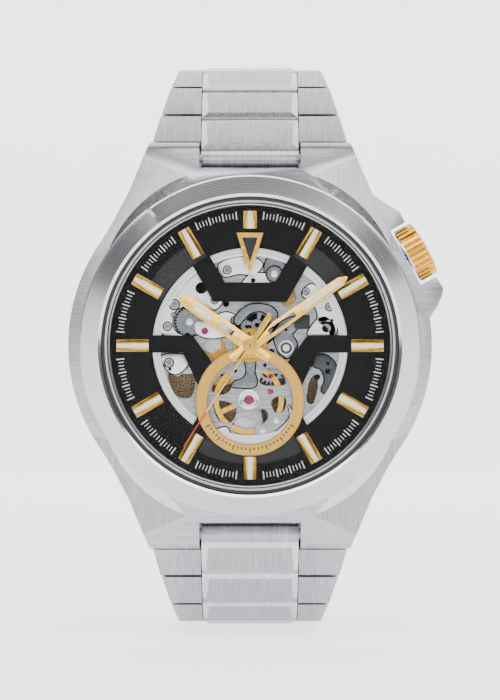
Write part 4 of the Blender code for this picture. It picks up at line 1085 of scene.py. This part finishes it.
# %% Sizes of the links
PITCH, HALF_THICK, RAISED, GAP = 6.9, 1.35, 0.3, 0.25
LEANS = (51, 54, 66, 84, 103, 121, 138, 152)
WIDTHS = (12.7, 11.6, 10.4, 9.5, 9.3)
CENTRE_HALF = 6.2
PIVOTS = [LUG_PIN]
for lean in LEANS:
    up, height = PIVOTS[-1]
    PIVOTS.append((up + PITCH * math.cos(math.radians(lean)), height - PITCH * math.sin(math.radians(lean))))


def on_bracelet(obj, index, sign):
    """X across, Y along the bracelet away from the case, Z out from the wrist."""
    lean, pivot = math.radians(LEANS[index]), PIVOTS[index]
    along = Vector((0.0, math.sin(lean), sign * math.cos(lean)))
    out = Vector((0.0, -math.cos(lean), sign * math.sin(lean)))
    turn = Matrix((along.cross(out), along, out)).transposed().to_4x4()
    obj.data.transform(Matrix.Translation((0.0, -pivot[1] * MM, sign * pivot[0] * MM)) @ turn)
    return obj


def slab(name, profile, low, high):
    obj = plate(name, [profile], low, high)
    obj.data.transform(ACROSS)
    return obj


# %% Bars of one link
def centre_bar(name, hooked):
    hollow = HALF_THICK + GAP
    lean = math.degrees(math.asin(HALF_THICK / hollow))
    points = arc(HALF_THICK, 90, 270, 20)
    if hooked:
        lip = PITCH - hollow - 0.1
        points += [(lip, -HALF_THICK), (lip, 0.0)] + arc(hollow, 180, 180 - lean, 10, (PITCH, 0.0))
    else:
        points += arc(hollow, 180 + lean, 180 - lean, 16, (PITCH, 0.0))
    points += [(PITCH - 1.25, HALF_THICK + RAISED), (0.75, HALF_THICK + RAISED)]
    bar = slab(name, points, -CENTRE_HALF, CENTRE_HALF)
    for vertex in bar.data.vertices:
        if vertex.co.z > (HALF_THICK + RAISED / 2) * MM:
            taper = 0.85 if vertex.co.y < PITCH / 2 * MM else 0.55
            vertex.co.x -= math.copysign(taper * MM, vertex.co.x)
    return softened(bar, 0.09, 2, 12)


def outer_bar(name, index, side):
    start = 2.1 if index == 0 else HALF_THICK + GAP
    wide, narrow = (WIDTHS[min(index + k, len(WIDTHS) - 1)] for k in (0, 1))
    lean = math.degrees(math.asin(HALF_THICK / start))
    points = arc(start, lean, -lean, 14) + arc(HALF_THICK, -90, 90, 20, (PITCH, 0.0))
    inner = CENTRE_HALF + 0.12
    low, high = sorted((side * inner, side * wide))
    bar = slab(name, list(reversed(points)), low, high)
    for vertex in bar.data.vertices:
        if abs(vertex.co.x) > (inner + 0.5) * MM:
            share = min(max(vertex.co.y / (PITCH * MM), 0.0), 1.0)
            vertex.co.x = side * (wide + (narrow - wide) * share) * MM
    if index == 0:
        hole = rod("hole", 0.85, -14, 14)
        hole.data.transform(ACROSS)
        bar = cut(bar, hole)
    return softened(bar, 0.16, 3, 40)


# %% All the links
made = 0
for sign, count, side_name in ((1, 8, "12"), (-1, 7, "6")):
    for index in range(count):
        body = f"link_{side_name}_{index + 1}"
        centre = centre_bar(body + "_centre", sign > 0 and index == 7)
        top = math.cos(math.radians(8))
        centre.data.materials.append(steel_down)
        centre.data.materials.append(steel_edge)
        for face in centre.data.polygons:
            slope = abs(face.normal.z) < top and face.center.z > 0.98 * HALF_THICK * MM
            face.material_index = 1 if slope else 0
        if index == 0:
            hole = rod("hole", 0.85, -8, 8)
            hole.data.transform(ACROSS)
            centre = cut(centre, hole)
        fitted(on_bracelet(centre, index, sign), steel_down, body, "brushed_steel", body, smooth=25)
        for side, word in ((1, "right"), (-1, "left")):
            bar = on_bracelet(outer_bar(f"{body}_{word}", index, side), index, sign)
            fitted(bar, steel_down, body, "brushed_steel", smooth=30)
        low, high = (2.25 if index == 0 else 1.75), PITCH - HALF_THICK - GAP - 0.15
        web = block(body + "_tie", (-CENTRE_HALF - 0.5, low, -1.0), (CENTRE_HALF + 0.5, high, 1.0))
        fitted(on_bracelet(softened(web, 0.1), index, sign), steel_down, body, "brushed_steel")
        if index:
            reach = WIDTHS[min(index, len(WIDTHS) - 1)] + 0.015
            ends = [rod("end", 0.42, reach - 0.5, reach, steps=24),
                    rod("end", 0.42, -reach, 0.5 - reach, steps=24)]
            pin = merged(body + "_pin", ends)
            pin.data.transform(ACROSS)
            before = f"link_{side_name}_{index}"
            fitted(on_bracelet(pin, index, sign), steel_polished, before, "polished_steel")
        made += 4
print("link pieces:", made)

# %% [markdown]
# ## Folding clasp
# Three curved plates fold on each other. The cover carries a push button on each side, and two ribs are
# milled across it. A hinge pin joins each pair of plates.


# %% The clasp's circle
def clasp_circle():
    a, b = (-PIVOTS[7][1], -PIVOTS[7][0]), (-PIVOTS[8][1], PIVOTS[8][0])
    rise, chord = 6.5, math.dist(a, b)
    radius = (chord**2 / 4 + rise**2) / (2 * rise)
    along = ((b[0] - a[0]) / chord, (b[1] - a[1]) / chord)
    out = (along[1], -along[0])
    centre = [(a[i] + b[i]) / 2 - out[i] * (radius - rise) for i in (0, 1)]
    start, end = (math.degrees(math.atan2(p[1] - centre[1], p[0] - centre[0])) for p in (a, b))
    return centre, radius, start, end


CENTRE, RADIUS, START, END = clasp_circle()
MILLIMETRE = math.degrees(1 / RADIUS)
HINGE_IN, HINGE_OUT = START + 6.0 * MILLIMETRE, END - 4.6 * MILLIMETRE


def shell(name, low, high, first, last, half_width, count=36):
    outline = arc(RADIUS + high, first, last, count, CENTRE) + arc(RADIUS + low, last, first, count, CENTRE)
    return slab(name, outline, -half_width, half_width)


def knuckle(name, radius, lift, degrees, half_width):
    return slab(name, [polar(p, d, polar(RADIUS + lift, degrees, CENTRE)) for p, d in
                       [(radius, 15 * i) for i in range(24)]], -half_width, half_width)


# %% Blades, cover and pins
inner = shell("clasp_inner", -1.25, -0.45, START, HINGE_OUT, 4.0)
inner = joined(inner, knuckle("k", HALF_THICK, 0, START, CENTRE_HALF))
fitted(softened(inner, 0.12), steel_across, "clasp_inner_blade", "brushed_steel", "clasp_inner_blade")
middle = shell("clasp_middle", -0.35, 0.45, HINGE_IN, HINGE_OUT, 4.0)
fitted(softened(middle, 0.12), steel_across, "clasp_middle_blade", "brushed_steel", "clasp_middle_blade")
clear = (HALF_THICK + GAP) * MILLIMETRE
cover = shell("clasp_shell", 0.55, 1.5, HINGE_IN, END - clear, 9.2)
walls = []
for side in (1, -1):
    wall = shell("wall", -1.25, 0.85, HINGE_IN, END - clear - 0.2 * MILLIMETRE, 0.55)
    wall.data.transform(Matrix.Translation((side * 8.6 * MM, 0, 0)))
    walls.append(wall)
stop = shell("stop", -1.0, 1.4, END - 3.4 * MILLIMETRE, END - 0.6 * MILLIMETRE, 6.18, 8)
cover = joined(cover, *walls, stop)
cover = joined(cover, knuckle("tongue", HALF_THICK, 0, END, CENTRE_HALF))
middle_angle = (START + END) / 2
spot = polar(RADIUS - 0.35, middle_angle, CENTRE)
face_out, face_up = (math.cos(math.radians(middle_angle)), math.sin(math.radians(middle_angle)))
for side in (1, -1):
    pocket = block("pocket", (-0.57, -1.72, 7.2), (0.57, 1.72, 10.6))
    turn = Matrix(((0, 0, side, 0), (face_out, -face_up * side, 0, 0), (face_up, face_out * side, 0, 0),
                   (0, 0, 0, 1)))
    pocket.data.transform(Matrix.Translation((0.0, spot[0] * MM, spot[1] * MM)) @ turn)
    cover = cut(cover, pocket)
for at in (HINGE_IN + 4 * MILLIMETRE, END - 6 * MILLIMETRE):
    groove = shell("groove", 1.36, 1.8, at, at + 0.7 * MILLIMETRE, 10.0, 6)
    cover = cut(cover, groove)
fitted(softened(cover, 0.14), steel_across, "clasp_cover", "brushed_steel", "clasp_cover")
for name, lift, degrees, half, body in (
    ("clasp_pin_cover", 0.5, HINGE_IN, 4.5, "clasp_middle_blade"),
    ("clasp_pin_blades", -0.4, HINGE_OUT, 4.15, "clasp_inner_blade"),
):
    fitted(softened(knuckle(name, 0.5, lift, degrees, half), 0.1), steel_polished, body, "polished_steel")
print("clasp radius, mm:", round(RADIUS, 2))

# %% [markdown]
# ## Stage, light and camera
# A pale paper floor curves up behind the watch. It glows a little, so that it stays pale without strong
# lights, and it is clear from behind, so that the back of the watch can be looked at. A wide soft light
# stands in front and above, with a lower one in front, one overhead and a small one on each side. The paper
# and the room look brighter than the light they give, so that the metals have a dark side to mirror as
# well.

# %% The paper sweep
FLOOR = min(CAD_BOX[0][2], CAD_BOX[1][2]) - 0.0004
SWEEP_FRONT, SWEEP_BACK, SWEEP_BEND, SWEEP_TOP, SWEEP_HALF = -0.9, 0.5, 0.12, 1.2, 1.6
line = [(SWEEP_FRONT, FLOOR)]
for degrees in range(0, 91, 6):
    bend = math.radians(degrees)
    line.append((SWEEP_BACK + SWEEP_BEND * math.sin(bend), FLOOR + SWEEP_BEND * (1 - math.cos(bend))))
line.append((SWEEP_BACK + SWEEP_BEND, SWEEP_TOP))
corners = [(x, y, z) for x in (-SWEEP_HALF, SWEEP_HALF) for y, z in line]
last = len(line)
floor_mesh = bpy.data.meshes.new("floor_sweep")
floor_mesh.from_pydata(corners, [], [(i, last + i, last + i + 1, i + 1) for i in range(last - 1)])
floor_sweep = new_piece("floor_sweep", floor_mesh)
floor_sweep.data.shade_smooth()
print("sweep faces:", len(floor_mesh.polygons))

# %% Paper that glows and is clear from behind
GLOW, GLOW_ADDED_IN_VIEW = 1.15, 0.75
paper = grainy("Paper_backdrop", "#f1f2f4", "#f4f5f7", 0.9, 0.05, depth=0.0, metallic=0.0)
sheet = paper.node_tree
paper_shader = sheet.nodes["Principled BSDF"]
paper_shader.inputs["Emission Color"].default_value = linear("#f1f2f4")
in_view = add(sheet, "ShaderNodeLightPath").outputs["Is Camera Ray"]
glow = add(sheet, "ShaderNodeMath", {1: GLOW_ADDED_IN_VIEW, 2: GLOW}, {0: in_view}, operation="MULTIPLY_ADD")
sheet.links.new(glow.outputs[0], paper_shader.inputs["Emission Strength"])
clear = add(sheet, "ShaderNodeBsdfTransparent")
behind = add(sheet, "ShaderNodeNewGeometry").outputs["Backfacing"]
either = add(sheet, "ShaderNodeMixShader", None, {0: behind, 1: paper_shader.outputs[0], 2: clear.outputs[0]})
sheet.links.new(either.outputs[0], sheet.nodes["Material Output"].inputs["Surface"])
floor_sweep.data.materials.append(paper)
print("paper nodes:", len(sheet.nodes))


# %% Softboxes and the room
def soft_light(name, place, target, width, height, power):
    data = bpy.data.lights.new(name, "AREA")
    data.shape = "RECTANGLE"
    data.size, data.size_y, data.energy = width, height, power
    light = new_piece(name, data)
    light.location = place
    light.rotation_euler = (Vector(target) - Vector(place)).to_track_quat("-Z", "Y").to_euler()
    return light


MIDDLE = (0, 0, 0)
soft_light("key_softbox", (0.05, -0.62, 0.68), MIDDLE, 1.3, 0.6, 10.0)
soft_light("front_softbox", (0, -1.25, 0.3), MIDDLE, 1.1, 0.7, 3.6)
soft_light("right_softbox", (0.75, -0.33, 0.0), MIDDLE, 0.25, 0.7, 1.5)
soft_light("left_softbox", (-0.75, -0.33, 0.0), MIDDLE, 0.25, 0.5, 0.9)
soft_light("top_softbox", (0, 0.3, 0.9), (0, 0.35, 0), 1.2, 0.5, 4.0)
ROOM_LIGHT, ROOM_ADDED_IN_VIEW = 0.16, 2.6
world = bpy.data.worlds.new("studio")
bpy.context.scene.world = world
world.use_nodes = True
room = world.node_tree
backdrop = room.nodes["Background"]
backdrop.inputs["Color"].default_value = linear("#eef0f4")
in_view = add(room, "ShaderNodeLightPath").outputs["Is Camera Ray"]
strength = add(room, "ShaderNodeMath", {1: ROOM_ADDED_IN_VIEW, 2: ROOM_LIGHT}, {0: in_view},
               operation="MULTIPLY_ADD")
room.links.new(strength.outputs[0], backdrop.inputs["Strength"])
print("lights:", len(bpy.data.lights))

# %% Camera
CAMERA_DISTANCE, CAMERA_HEIGHT = 0.41, -0.00057
camera_data = bpy.data.cameras.new("camera")
camera_data.lens = 163.0
camera_data.sensor_width = 36.0
camera_data.clip_start = 0.01
camera = new_piece("camera", camera_data)
camera.location = (0.0, -CAMERA_DISTANCE, CAMERA_HEIGHT)
camera.rotation_euler = (math.radians(90), 0.0, 0.0)
bpy.context.scene.camera = camera

print("camera placed")
